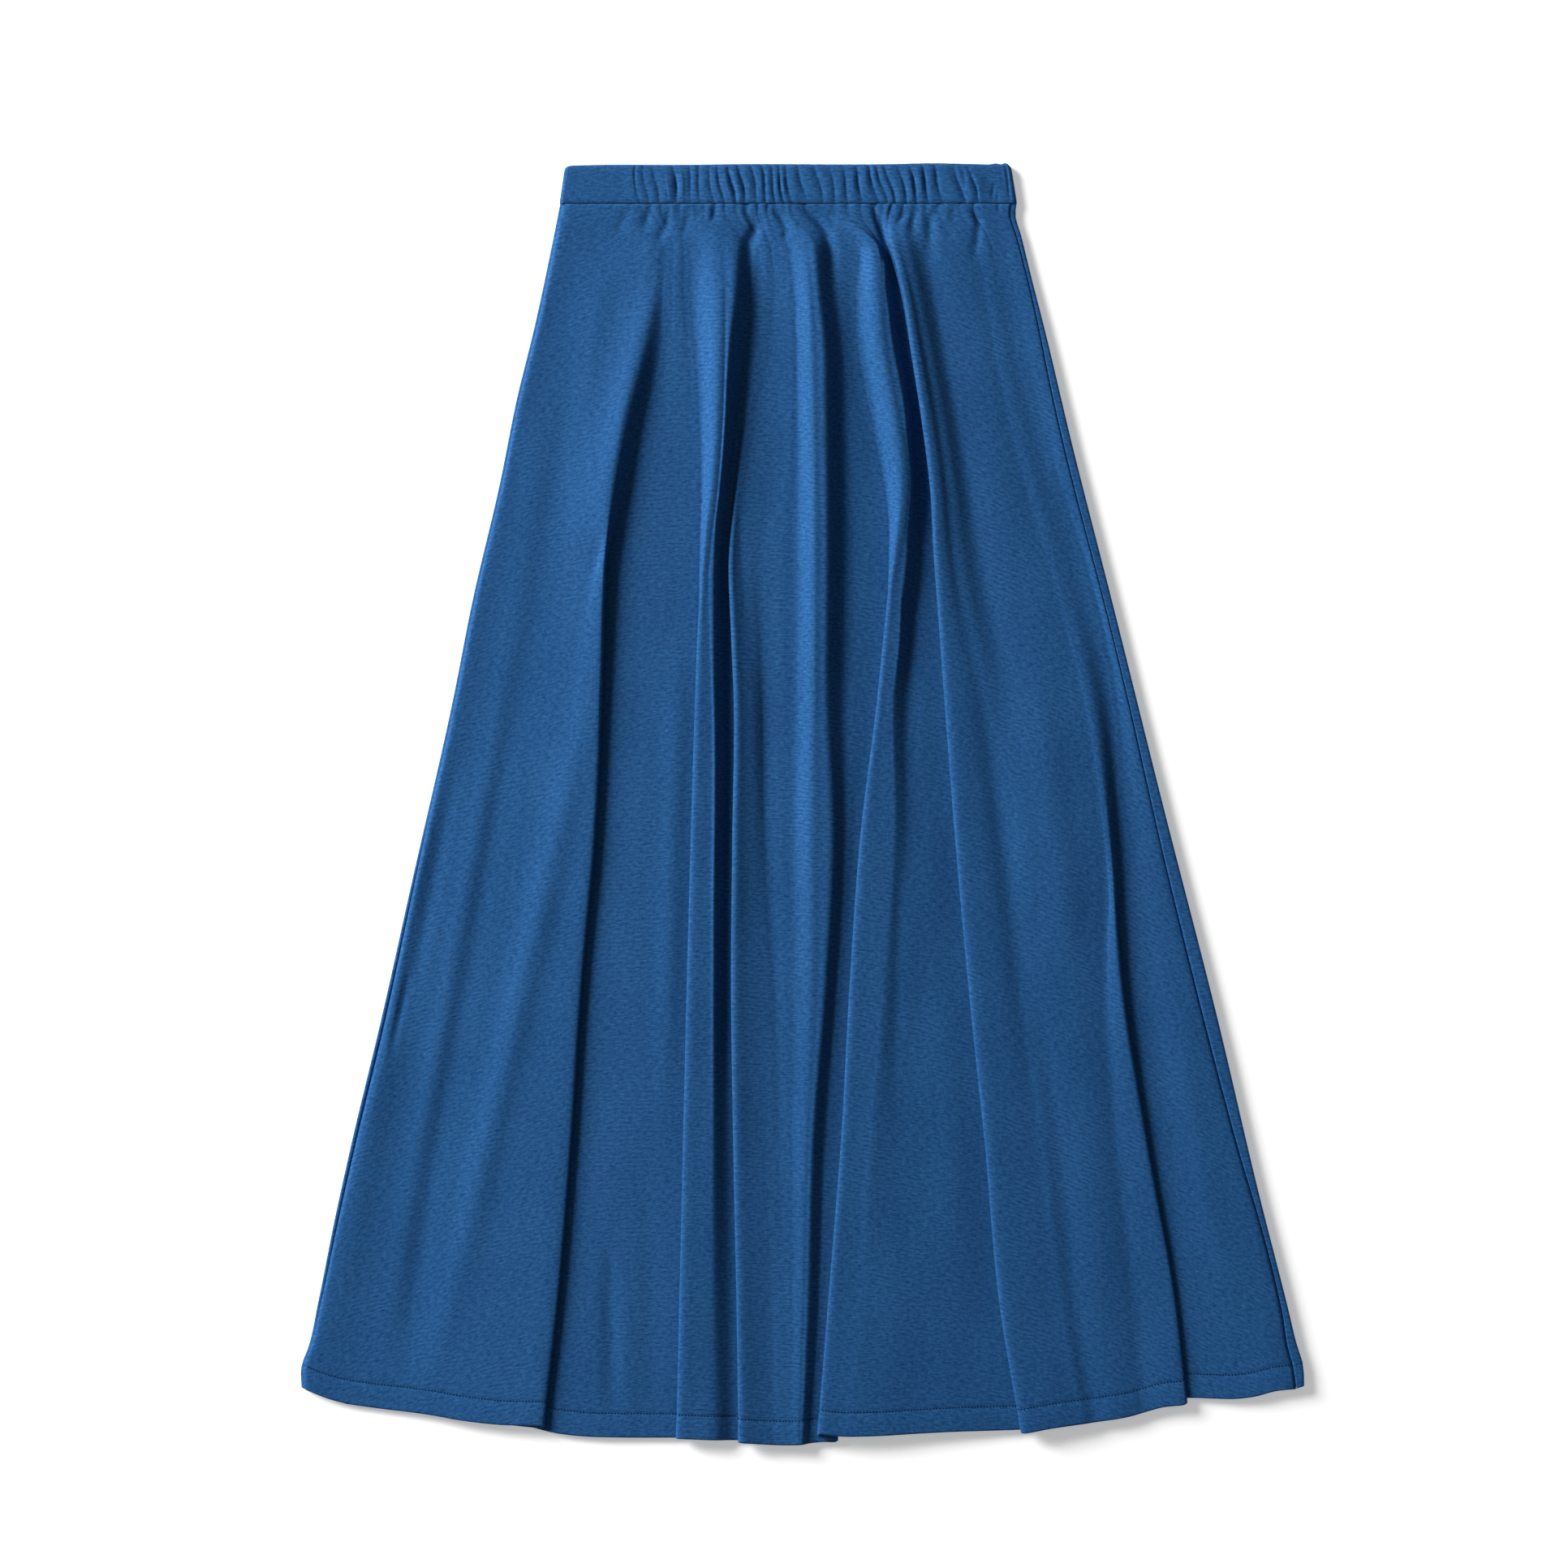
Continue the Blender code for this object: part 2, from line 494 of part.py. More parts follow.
def build_back_panel(collection, finish):
    columns = []
    for j, (x, _) in enumerate(back_across(np.array([LEFT_EDGE[-1].drop]))):
        drop = row_drops(float(read(BACK_HEM, "drop", x[0], "x")))[GATHER_ROWS - 1 :]
        drop[0] = BAND_DEPTH + SEAM_GAP
        x, z = back_across(drop)[j]
        columns.append(np.stack([x, WAIST_Y - drop, z], axis=1))
    grid = np.stack(columns, axis=1)
    tool = bmesh.new()
    rows = [[tool.verts.new(point) for point in row] for row in grid]
    for upper, lower in zip(rows, rows[1:]):
        for k in range(len(lower) - 1):
            tool.faces.new([upper[k], upper[k + 1], lower[k + 1], lower[k]])
    made = add_object("back_panel", collection, tool, finish)
    cloth_rows = len(rows) - 2
    share = [CLOTH_WALL / HEM_WALL] * cloth_rows + [1.0, 1.0]
    thicken(made, HEM_WALL, -1.0, [share[r] for r in range(len(rows)) for _ in rows[r]])
    return made


def band_stations():
    """(share of the way, height, outward x, outward z, ruche) round the flattened band's middle line."""
    width = BAND_TOP_RIGHT - BAND_TOP_LEFT
    bottom, top = BAND_WALL / 2, 1.5 * BAND_WALL + BAND_SLIT
    radius = (top - bottom) / 2
    inset = (radius + BAND_WALL / 2) / width
    creases = [crease.x for crease in CREASES]
    first, last = BAND_TOP_LEFT + BAND_END_MARGIN, BAND_TOP_RIGHT - BAND_END_MARGIN
    front = list(np.linspace(first, creases[0], BAND_SMOOTH_LEFT, endpoint=False))
    for start, end in zip(creases, creases[1:]):
        front += [mix(start, end, k / PLEAT_STATIONS) for k in range(PLEAT_STATIONS)]
    front += list(np.linspace(creases[-1], last, BAND_SMOOTH_RIGHT + 1))
    stations = [((x - BAND_TOP_LEFT) / width, top, 0.0, 1.0, x) for x in front]
    middle = (top + bottom) / 2
    turn = [math.pi * (k + 0.5) / BAND_TURN_STATIONS for k in range(BAND_TURN_STATIONS)]
    for angle in turn:
        side, up = math.sin(angle), math.cos(angle)
        stations.append((1 - inset + side * radius / width, middle + up * radius, side, up, None))
    for share in np.linspace(1 - inset, inset, BAND_BACK_STATIONS):
        stations.append((share, bottom, 0.0, -1.0, None))
    for angle in turn:
        side, up = -math.sin(angle), -math.cos(angle)
        stations.append((inset + side * radius / width, middle + up * radius, side, up, None))
    return stations


def ruche_height(x, drop):
    """How far the ruched cloth stands out on the front of the band."""
    if x is None or not CREASES[0].x <= x <= CREASES[-1].x:
        return 0.0
    phase = crease_phase(x)
    nearest = CREASES[int(round(float(phase)))]
    fullness = mix(RUCHE_AT_SEAM, 1.0, math.sin(math.pi * drop / BAND_DEPTH))
    return -0.5 * nearest.depth * math.cos(2 * math.pi * phase) * fullness


def band_x(share, drop, ruched):
    """Where a station of the band stands at a drop: the ends flare and the creases slant."""
    corner = BAND_CORNER * (1 - math.sqrt(1 - (1 - min(drop / BAND_CORNER, 1.0)) ** 2))
    left = BAND_TOP_LEFT - BAND_FLARE_LEFT * drop / BAND_DEPTH + corner
    right = BAND_TOP_RIGHT + BAND_FLARE_RIGHT * drop / BAND_DEPTH - corner
    x = mix(left, right, share)
    if ruched:
        slant = mix(CREASE_SLANT_LEFT, CREASE_SLANT_RIGHT, share)
        x += slant * (drop - BAND_DEPTH) * ease(8 * share * (1 - share))
    return x


def build_waistband(collection, finish):
    """The band's wall, a closed loop of sections that follows the flattened waist."""
    half = BAND_WALL / 2
    tool = bmesh.new()
    rings = []
    for share, height, side, up, ruche_x in band_stations():
        ring = []
        for drop, out in BAND_SECTION:
            x = band_x(share, drop, ruche_x is not None)
            reach = half * out + (ruche_height(ruche_x, drop) if out == 1 else 0.0)
            ring.append(tool.verts.new((x + side * reach, WAIST_Y - drop, height + up * reach)))
        rings.append(ring)
    for ring, after in zip(rings, rings[1:] + rings[:1]):
        for k in range(len(ring)):
            n = (k + 1) % len(ring)
            tool.faces.new([ring[k], ring[n], after[n], after[k]])
    bmesh.ops.recalc_face_normals(tool, faces=tool.faces)
    return add_object("waistband", collection, tool, finish)


def cloth_finish(name):
    finish = bpy.data.materials.new(name)
    finish.use_nodes = True
    shader = finish.node_tree.nodes["Principled BSDF"]
    shader.inputs["Base Color"].default_value = CLOTH_BLUE
    shader.inputs["Roughness"].default_value = CLOTH_ROUGHNESS
    shader.inputs["Metallic"].default_value = 0.0
    finish.diffuse_color = CLOTH_BLUE
    return finish


def main():
    for old in list(bpy.data.objects):
        bpy.data.objects.remove(old, do_unlink=True)
    collection = bpy.data.collections.new(PART_NAME)
    bpy.context.scene.collection.children.link(collection)
    build_waistband(collection, cloth_finish("waistband_jersey"))
    build_front_panel(collection, cloth_finish("front_jersey"))
    build_back_panel(collection, cloth_finish("back_jersey"))


main()
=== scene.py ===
"""Looks of the a-line skirt as it lies flat: jersey, ruched waistband, lapped folds, stitches.

Sizes inside the classes are in millimetres. A drop is a distance below the waistband's top edge,
and x is measured from the middle of the skirt's width. Meshes are turned into metres as they are
made.
"""

import logging
import math
from dataclasses import dataclass
from enum import Enum
from typing import NamedTuple, Sequence, TypeVar, Union

import bpy
import numpy as np
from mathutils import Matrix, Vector, noise
from numpy.typing import NDArray


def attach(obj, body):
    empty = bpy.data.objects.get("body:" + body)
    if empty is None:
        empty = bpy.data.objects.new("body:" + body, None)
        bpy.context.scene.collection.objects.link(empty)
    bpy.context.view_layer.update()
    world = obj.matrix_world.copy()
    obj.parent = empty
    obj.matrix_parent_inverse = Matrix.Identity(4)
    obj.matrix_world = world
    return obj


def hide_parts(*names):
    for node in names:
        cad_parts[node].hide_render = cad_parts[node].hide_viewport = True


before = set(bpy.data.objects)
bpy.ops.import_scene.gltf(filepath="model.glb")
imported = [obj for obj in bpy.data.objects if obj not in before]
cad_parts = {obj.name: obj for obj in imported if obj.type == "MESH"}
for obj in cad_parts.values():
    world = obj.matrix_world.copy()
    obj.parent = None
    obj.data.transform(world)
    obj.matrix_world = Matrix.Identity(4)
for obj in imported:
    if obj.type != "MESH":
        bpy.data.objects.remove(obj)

LOG = logging.getLogger("skirt")
Array = NDArray[np.float64]
Colour = tuple[float, float, float]
Number = Union[float, Array]
Spot = tuple[float, Array, Array]  # a point's leaf, its x and its height
Row = TypeVar("Row", bound=tuple)
MM = 0.001
WAIST_Y = 473.0
SEAM_DROP = 28.0
CREASE_STEPS = 10
CREASE_REACH = 3.0
CREASE_START, CREASE_GAIN = 0.35, 0.65
CREASE_IN, CREASE_OUT, CREASE_END = 3.0, 1.6, 3.5


class UpperSide(Enum):
    """Which way the upper leaf of a fold lies from the edge that shows."""

    LEFT = -1
    RIGHT = 1


class Station(NamedTuple):
    """A fold's section: where its edge is, how far it laps, and the heights below and above."""

    drop: float
    edge: float
    overlap: float
    low: float
    rise: float


class Place(NamedTuple):
    """A value, an x or a height, at a drop below the waistband's top edge."""

    drop: float
    value: float


class Ridge(NamedTuple):
    """A ridge or valley line's place and height."""

    drop: float
    x: float
    height: float


class Pleat(NamedTuple):
    """A crease of the ruched band, and how far it runs on below the seam."""

    x: float
    depth: float
    run: float


class Hem(NamedTuple):
    """The hem edge's drop at x."""

    x: float
    drop: float


class Rise(NamedTuple):
    """How far the waistband's top edge stands above its usual line at x."""

    x: float
    height: float


class Turn(NamedTuple):
    """A point of a fold's turn, as shares of its overlap, its roll and its rise."""

    run: float
    out: float
    up: float


class Wave(NamedTuple):
    """A long soft ridge, or a trough where its height is negative, on one leaf."""

    leaf: int
    drop_from: float
    x_from: float
    drop_to: float
    x_to: float
    half_width: float
    height: float


class Crease(NamedTuple):
    """A short trough pressed into the cloth along a line of (x, drop) points."""

    line: tuple[tuple[float, float], ...]
    depth: float
    half_width: float


class Roll(NamedTuple):
    """A point of the rolled left edge: its inset and height, and its shares of ledge and top."""

    inset: float
    height: float
    beyond: float
    of_top: float
    groove: float


class Bump(NamedTuple):
    """A small rise of the waistband's top edge, as where a seam thickens it."""

    x: float
    height: float
    half_width: float


def rows(kind: type[Row], *cells: tuple) -> tuple[Row, ...]:
    """A table's rows, from a plain tuple for each."""
    return tuple(kind(*cell) for cell in cells)


def ease(share: Number) -> Array:
    """Smooth step from 0 to 1, level at both ends."""
    share = np.clip(share, 0.0, 1.0)
    return share * share * (3.0 - 2.0 * share)


def mix(start: Number, end: Number, share: Number) -> Number:
    """The value a share of the way from start to end."""
    return start + (end - start) * share


def smooth_curve(places: Sequence[float], values: Sequence[float], at: Number) -> Array:
    """Reads the smooth curve through a table's values, level beyond its ends.

    Args:
        places: where the values are, in rising order.
        values: one value for each place.
        at: where to read the curve.

    Returns:
        The curve's value at each place asked for.
    """
    spots, levels = np.asarray(places, float), np.asarray(values, float)
    slopes = np.gradient(levels, spots)
    at = np.clip(at, spots[0], spots[-1])
    i = np.clip(np.searchsorted(spots, at) - 1, 0, len(spots) - 2)
    span = spots[i + 1] - spots[i]
    t = (at - spots[i]) / span
    rise = levels[i] * (1 + 2 * t) * (1 - t) ** 2 + levels[i + 1] * t * t * (3 - 2 * t)
    return rise + span * t * (1 - t) * (slopes[i] * (1 - t) - slopes[i + 1] * t)


def read(table: Sequence[NamedTuple], column: str, at: Number, key: str = "drop") -> Array:
    """Reads one column of a table smoothly between its rows.

    Args:
        table: rows in rising order of the key column.
        column: the column's name.
        at: where to read it, on the key column's scale.
        key: the column that orders the rows.

    Returns:
        The column's value at each place.
    """
    places, values = ([getattr(row, name) for row in table] for name in (key, column))
    return smooth_curve(places, values, at)


def refine(control: Array, steps: Sequence[int]) -> Array:
    """Adds points across each row on a smooth curve that passes through the given ones.

    Args:
        control: rows of points, shaped (rows, columns, 3).
        steps: how many steps each span between two columns gets.

    Returns:
        The finer rows of points.
    """
    first = 2 * control[:, :1] - control[:, 1:2]
    last = 2 * control[:, -1:] - control[:, -2:-1]
    padded = np.concatenate([first, control, last], axis=1)
    gaps = np.sqrt(np.maximum(np.linalg.norm(np.diff(padded, axis=1), axis=2, keepdims=True), 1e-3))
    out = [control[:, 0]]
    for i, count in enumerate(steps):
        p0, p1, p2, p3 = (padded[:, i + k] for k in range(4))
        g0, g1, g2 = (gaps[:, i + k] for k in range(3))
        leave = g1 * ((p1 - p0) / g0 - (p2 - p0) / (g0 + g1)) + p2 - p1
        arrive = g1 * ((p3 - p2) / g2 - (p3 - p1) / (g1 + g2)) + p2 - p1
        for k in range(1, count + 1):
            t = k / count
            pull = t * (1 - t) * (leave * (1 - t) - arrive * t)
            out.append(p1 * (1 + 2 * t) * (1 - t) ** 2 + p2 * t * t * (3 - 2 * t) + pull)
    return np.stack(out, axis=1)


def refine_evenly(control: Array, steps: Sequence[int]) -> Array:
    """Adds values across each row in even steps, one for each point that refine adds.

    Args:
        control: rows of values, shaped (rows, columns, any).
        steps: how many steps each span between two columns gets.

    Returns:
        The finer rows of values.
    """
    out = [control[:, 0]]
    for i, count in enumerate(steps):
        out += [mix(control[:, i], control[:, i + 1], k / count) for k in range(1, count + 1)]
    return np.stack(out, axis=1)


def arc_across(grid: Array) -> Array:
    """How far along its row each point lies, measured from the row's middle.

    Args:
        grid: points, shaped (rows, columns, 3).

    Returns:
        The length along the row at each point.
    """
    steps = np.linalg.norm(np.diff(grid, axis=1), axis=2)
    arc = np.concatenate([np.zeros((len(grid), 1)), np.cumsum(steps, axis=1)], axis=1)
    return arc - arc[:, -1:] / 2


def surface_normals(grid: Array) -> Array:
    """Unit normals of a grid of points whose rows run down the skirt and columns to the right."""
    normals = np.cross(np.gradient(grid, axis=0), np.gradient(grid, axis=1))
    return normals / np.maximum(np.linalg.norm(normals, axis=2, keepdims=True), 1e-9)


def crease_depth(crease: Crease, x: Array, drop: Array) -> Array:
    """How deep a crease presses the cloth at each point.

    Args:
        crease: the crease.
        x: the points' places across.
        drop: the points' drops.

    Returns:
        The depth at each point, fading to both ends and to both sides.
    """
    knots = np.array(crease.line, float)
    count = CREASE_STEPS * (len(knots) - 1) + 1
    at = np.linspace(0, len(knots) - 1, count)
    line_x, line_drop = (smooth_curve(range(len(knots)), knots[:, k], at) for k in range(2))
    reach = CREASE_REACH * crease.half_width
    near = (x > line_x.min() - reach) & (x < line_x.max() + reach)
    near &= (drop > line_drop.min() - reach) & (drop < line_drop.max() + reach)
    depth = np.zeros_like(x)
    if not near.any():
        return depth
    across, down = x[near][:, None] - line_x, drop[near][:, None] - line_drop
    distance = across**2 + down**2
    closest = distance.argmin(axis=1)
    share = closest / (count - 1)
    rise, fall = ease(CREASE_IN * share), ease(CREASE_OUT * (1 - share))
    strength = (CREASE_START + CREASE_GAIN * rise * fall) * ease(CREASE_END * (1 - share))
    depth[near] = crease.depth * strength * np.exp(-distance.min(axis=1) / crease.half_width**2)
    return depth


def grain_ripple(x: Array, drop: Array, size: float, stretch: float, seed: float) -> Array:
    """Gentle uneven swell of the cloth, between about -1 and 1.

    Args:
        x: the points' places across.
        drop: the points' drops.
        size: the swell's size across the skirt.
        stretch: how much longer it is down the skirt.
        seed: moves the pattern.

    Returns:
        The swell at each point.
    """
    flat = [
        noise.noise(Vector((px / size, pd / (stretch * size), seed)))
        for px, pd in zip(x.ravel().tolist(), drop.ravel().tolist())
    ]
    return np.array(flat).reshape(x.shape)


def placed(name: str, data: bpy.types.ID) -> bpy.types.Object:
    """Puts a new object in the scene.

    Args:
        name: the object's name.
        data: its mesh, light or camera.

    Returns:
        The new object, linked to the scene.
    """
    made = bpy.data.objects.new(name, data)
    bpy.context.scene.collection.objects.link(made)
    return made


def cloth_object(name: str, grid: Array, cut: Array, closed: bool = False) -> bpy.types.Object:
    """Makes a smooth mesh piece from a grid of points.

    Args:
        name: the piece's name.
        grid: points in millimetres, shaped (rows, columns, 3).
        cut: each point's place on the flat cloth, in millimetres, shaped (rows, columns, 2).
        closed: whether the last row joins the first, as round a tube.

    Returns:
        The new object, linked to the scene.
    """
    down, across = grid.shape[:2]
    if closed:
        grid = np.concatenate([grid, grid[:1]])
        cut = np.concatenate([cut, cut[-1:] + (cut[-1:] - cut[-2:-1])])
        down += 1
    index = np.arange(down * across).reshape(down, across)
    corners = (index[:-1, :-1], index[1:, :-1], index[1:, 1:], index[:-1, 1:])
    faces = np.stack(corners, axis=-1).reshape(-1, 4)
    mesh = bpy.data.meshes.new(name)
    mesh.from_pydata((grid.reshape(-1, 3) * MM).tolist(), [], faces.tolist())
    layer = mesh.uv_layers.new(name="cut")
    flat = (cut.reshape(-1, 2) * MM)[faces.ravel()]
    layer.data.foreach_set("uv", flat.ravel().astype(np.float32))
    mesh.shade_smooth()
    return placed(name, mesh)


class Value:
    """A shader socket that takes part in Python arithmetic."""

    def __init__(self, graph: "Graph", socket: bpy.types.NodeSocket) -> None:
        """Keeps the socket and the graph that its sums are added to."""
        self.graph = graph
        self.socket = socket

    def __add__(self, other: "Value | float") -> "Value":
        """Sum."""
        return self.graph.maths("ADD", self, other)

    def __sub__(self, other: "Value | float") -> "Value":
        """Difference."""
        return self.graph.maths("SUBTRACT", self, other)

    def __mul__(self, other: "Value | float") -> "Value":
        """Product."""
        return self.graph.maths("MULTIPLY", self, other)

    def __gt__(self, other: "Value | float") -> "Value":
        """1 where this is greater, else 0."""
        return self.graph.maths("GREATER_THAN", self, other)

    def __rsub__(self, other: float) -> "Value":
        """Difference from a number."""
        return self.graph.maths("SUBTRACT", other, self)

    __radd__ = __add__
    __rmul__ = __mul__

    def sine(self) -> "Value":
        """Sine."""
        return self.graph.maths("SINE", self)


class Graph:
    """A material's node tree, with the few calls that its finishes need."""

    def __init__(self, name: str) -> None:
        """Makes the material with an empty tree.

        Args:
            name: the material's name.
        """
        self.material = bpy.data.materials.new(name)
        self.material.use_nodes = True
        self.tree = self.material.node_tree
        self.tree.nodes.clear()

    def node(
        self, kind: str, settings: dict | None = None, inputs: dict | None = None
    ) -> bpy.types.Node:
        """Adds a node.

        Args:
            kind: the node's type.
            settings: its own properties, set before its sockets.
            inputs: a value or a link for each named or numbered socket.

        Returns:
            The new node.
        """
        made = self.tree.nodes.new(kind)
        for key, setting in (settings or {}).items():
            setattr(made, key, setting)
        for key, given in (inputs or {}).items():
            socket = made.inputs[key]
            if isinstance(given, Value):
                self.tree.links.new(given.socket, socket)
            else:
                socket.default_value = given
        return made

    def value(self, node: bpy.types.Node, output: str | int = 0) -> Value:
        """One of a node's outputs."""
        return Value(self, node.outputs[output])

    def maths(self, operation: str, *terms: "Value | float") -> Value:
        """One sum on values."""
        node = self.node("ShaderNodeMath", {"operation": operation}, dict(enumerate(terms)))
        return self.value(node)

    def blend(self, factor: Value, first: "Value | tuple", second: "Value | tuple") -> Value:
        """A mix of two colours."""
        mixed = self.node("ShaderNodeMix", {"data_type": "RGBA"}, {0: factor, 6: first, 7: second})
        return self.value(mixed, 2)

    def ramp(self, factor: Value, low: float, high: float) -> Value:
        """0 below low, 1 above high, smooth between.

        Args:
            factor: the value it reads.
            low: where it leaves 0.
            high: where it reaches 1.

        Returns:
            The share between 0 and 1.
        """
        settings = {"interpolation_type": "SMOOTHSTEP"}
        sockets = {0: factor, 1: low, 2: high, 3: 0.0, 4: 1.0}
        return self.value(self.node("ShaderNodeMapRange", settings, sockets))

    def finish(self, shader: bpy.types.Node) -> bpy.types.Material:
        """Links the shader to the material's output.

        Args:
            shader: the surface's shader.

        Returns:
            The finished material.
        """
        target = self.node("ShaderNodeOutputMaterial")
        self.tree.links.new(shader.outputs[0], target.inputs["Surface"])
        return self.material


@dataclass(frozen=True)
class JerseyFinish:
    """Matte cotton jersey: fine courses of knit in streaky yarn, with a few pale flecks."""

    name: str
    pale: Colour = (0.0230, 0.1080, 0.2750)
    deep: Colour = (0.0020, 0.0400, 0.1400)
    fleck: Colour = (0.0700, 0.2100, 0.4300)
    course_pitch: float = 1.15
    wale_pitch: float = 1.55
    rib_pitch: float = 3.3
    knit_height: float = 0.22
    streak_length: float = 5.0
    streak_width: float = 1.25
    mottle_size: float = 2.6
    fleck_share: float = 0.955
    flecks_per_metre: float = 330.0
    roughness: float = 0.80
    wobble_size: float = 11.0
    course_wobble: float = 6.0
    wale_wobble: float = 5.0
    rib_wobble: float = 9.0
    rib_slant: float = 0.25
    rib_depth: float = 0.07
    course_depth: float = 0.24
    wale_depth: float = 0.16
    patch_size: float = 70.0
    patch_range: tuple[float, float] = (0.42, 0.62)
    tone_range: tuple[float, float] = (0.68, 1.52)
    streak_tone: float = 0.95
    mottle_tone: float = 0.75
    stitch_tone: float = 0.30
    patch_tone: float = 0.20
    fleck_tone: float = 0.5
    fleck_size: tuple[float, float] = (0.05, 0.22)

    def material(self) -> bpy.types.Material:
        """Builds the cloth's material on its flat cut, so the knit follows every fold.

        Returns:
            The material.
        """
        graph = Graph(self.name)
        cut = graph.value(graph.node("ShaderNodeUVMap", {"uv_map": "cut"}))
        parts = graph.node("ShaderNodeSeparateXYZ", inputs={0: cut})
        across, along = graph.value(parts, 0) * 1000.0, graph.value(parts, 1) * 1000.0
        turn = 2.0 * math.pi
        wobble = self.noise(graph, cut, self.wobble_size, 2.0)
        courses = (along * (turn / self.course_pitch) + wobble * self.course_wobble).sine()
        wales = (across * (turn / self.wale_pitch) + wobble * self.wale_wobble).sine()
        slanted = along * (turn / self.rib_pitch) + across * self.rib_slant
        ribs = (slanted + wobble * self.rib_wobble).sine()
        stitches = courses * self.course_depth + courses * wales * self.wale_depth + 0.5
        sizes = (1.0 / self.streak_length, 1.0 / self.streak_width, 1.0)
        scaling = {"operation": "MULTIPLY"}
        stretched = graph.node("ShaderNodeVectorMath", scaling, {0: cut, 1: sizes})
        streaks = self.noise(graph, graph.value(stretched), 1.0, 3.0)
        mottle = self.noise(graph, cut, self.mottle_size, 4.0)
        patches = self.noise(graph, cut, self.patch_size, 2.0)
        rib_share = graph.ramp(patches, *self.patch_range) * self.rib_depth
        tone = streaks * self.streak_tone + mottle * self.mottle_tone
        tone = tone + stitches * self.stitch_tone + ribs * rib_share + patches * self.patch_tone
        shade = graph.ramp(tone, *self.tone_range)
        cloth = graph.blend(shade, (*self.deep, 1.0), (*self.pale, 1.0))
        base = graph.blend(self.flecks(graph, cut) * self.fleck_tone, cloth, (*self.fleck, 1.0))
        bump = graph.node(
            "ShaderNodeBump",
            inputs={
                "Strength": 0.55,
                "Distance": self.knit_height * MM,
                "Height": stitches * 0.6 + streaks * 0.9 + mottle * 0.5 + ribs * rib_share,
            },
        )
        rough = graph.ramp(mottle, 0.1, 0.9) * 0.10 + self.roughness
        shader = graph.node(
            "ShaderNodeBsdfPrincipled",
            inputs={
                "Base Color": base,
                "Roughness": rough,
                "Normal": graph.value(bump),
                "Specular IOR Level": 0.12,
                "Sheen Weight": 0.03,
                "Sheen Roughness": 0.45,
                "Sheen Tint": (0.55, 0.75, 1.0, 1.0),
            },
        )
        return graph.finish(shader)

    @staticmethod
    def noise(graph: Graph, cut: Value, size: float, detail: float) -> Value:
        """Soft noise on the flat cut, with its size in millimetres."""
        inputs = {"Vector": cut, "Scale": 1.0 / size * 1000.0, "Detail": detail}
        return graph.value(graph.node("ShaderNodeTexNoise", inputs=inputs))

    def flecks(self, graph: Graph, cut: Value) -> Value:
        """Sparse pale dots where single fibres catch the light.

        Args:
            graph: the material's graph.
            cut: the place on the flat cut.

        Returns:
            1 in a fleck, fading to 0 round it.
        """
        inputs = {"Vector": cut, "Scale": self.flecks_per_metre}
        cells = graph.node("ShaderNodeTexVoronoi", inputs=inputs)
        pick = graph.node("ShaderNodeSeparateColor", inputs={0: graph.value(cells, "Color")})
        chosen = graph.value(pick, 0) > self.fleck_share
        return chosen * (1.0 - graph.ramp(graph.value(cells, "Distance"), *self.fleck_size))


@dataclass(frozen=True)
class ThreadFinish:
    """Spun sewing thread, a shade deeper than the cloth."""

    name: str = "sewing_thread"
    colour: Colour = (0.0006, 0.0090, 0.0300)
    lit: Colour = (0.0015, 0.0190, 0.0560)
    twist_pitch: float = 0.5
    twist_height: float = 0.05

    def material(self) -> bpy.types.Material:
        """Builds the thread's material, with its twist as fine slanting bands.

        Returns:
            The material.
        """
        graph = Graph(self.name)
        place = graph.value(graph.node("ShaderNodeTexCoord"), "Object")
        parts = graph.node("ShaderNodeSeparateXYZ", inputs={0: place})
        turn = 2000.0 * math.pi / self.twist_pitch
        twist = (graph.value(parts, 0) * turn + graph.value(parts, 1) * turn).sine() * 0.5 + 0.5
        base = graph.blend(twist, (*self.colour, 1.0), (*self.lit, 1.0))
        relief = {"Strength": 0.3, "Distance": self.twist_height * MM, "Height": twist}
        bump = graph.node("ShaderNodeBump", inputs=relief)
        shader = graph.node(
            "ShaderNodeBsdfPrincipled",
            inputs={
                "Base Color": base,
                "Roughness": twist * 0.1 + 0.75,
                "Normal": graph.value(bump),
                "Specular IOR Level": 0.08,
            },
        )
        return graph.finish(shader)


@dataclass(frozen=True)
class FloorFinish:
    """Plain white studio floor."""

    name: str = "studio_floor"
    colour: Colour = (0.93, 0.93, 0.93)
    glow: float = 0.34

    def material(self) -> bpy.types.Material:
        """Builds the matte floor material.

        Returns:
            The material.
        """
        graph = Graph(self.name)
        inputs = {
            "Base Color": (*self.colour, 1.0),
            "Roughness": 0.9,
            "Specular IOR Level": 0.1,
            "Emission Color": (1.0, 1.0, 1.0, 1.0),
            "Emission Strength": self.glow,
        }
        return graph.finish(graph.node("ShaderNodeBsdfPrincipled", inputs=inputs))


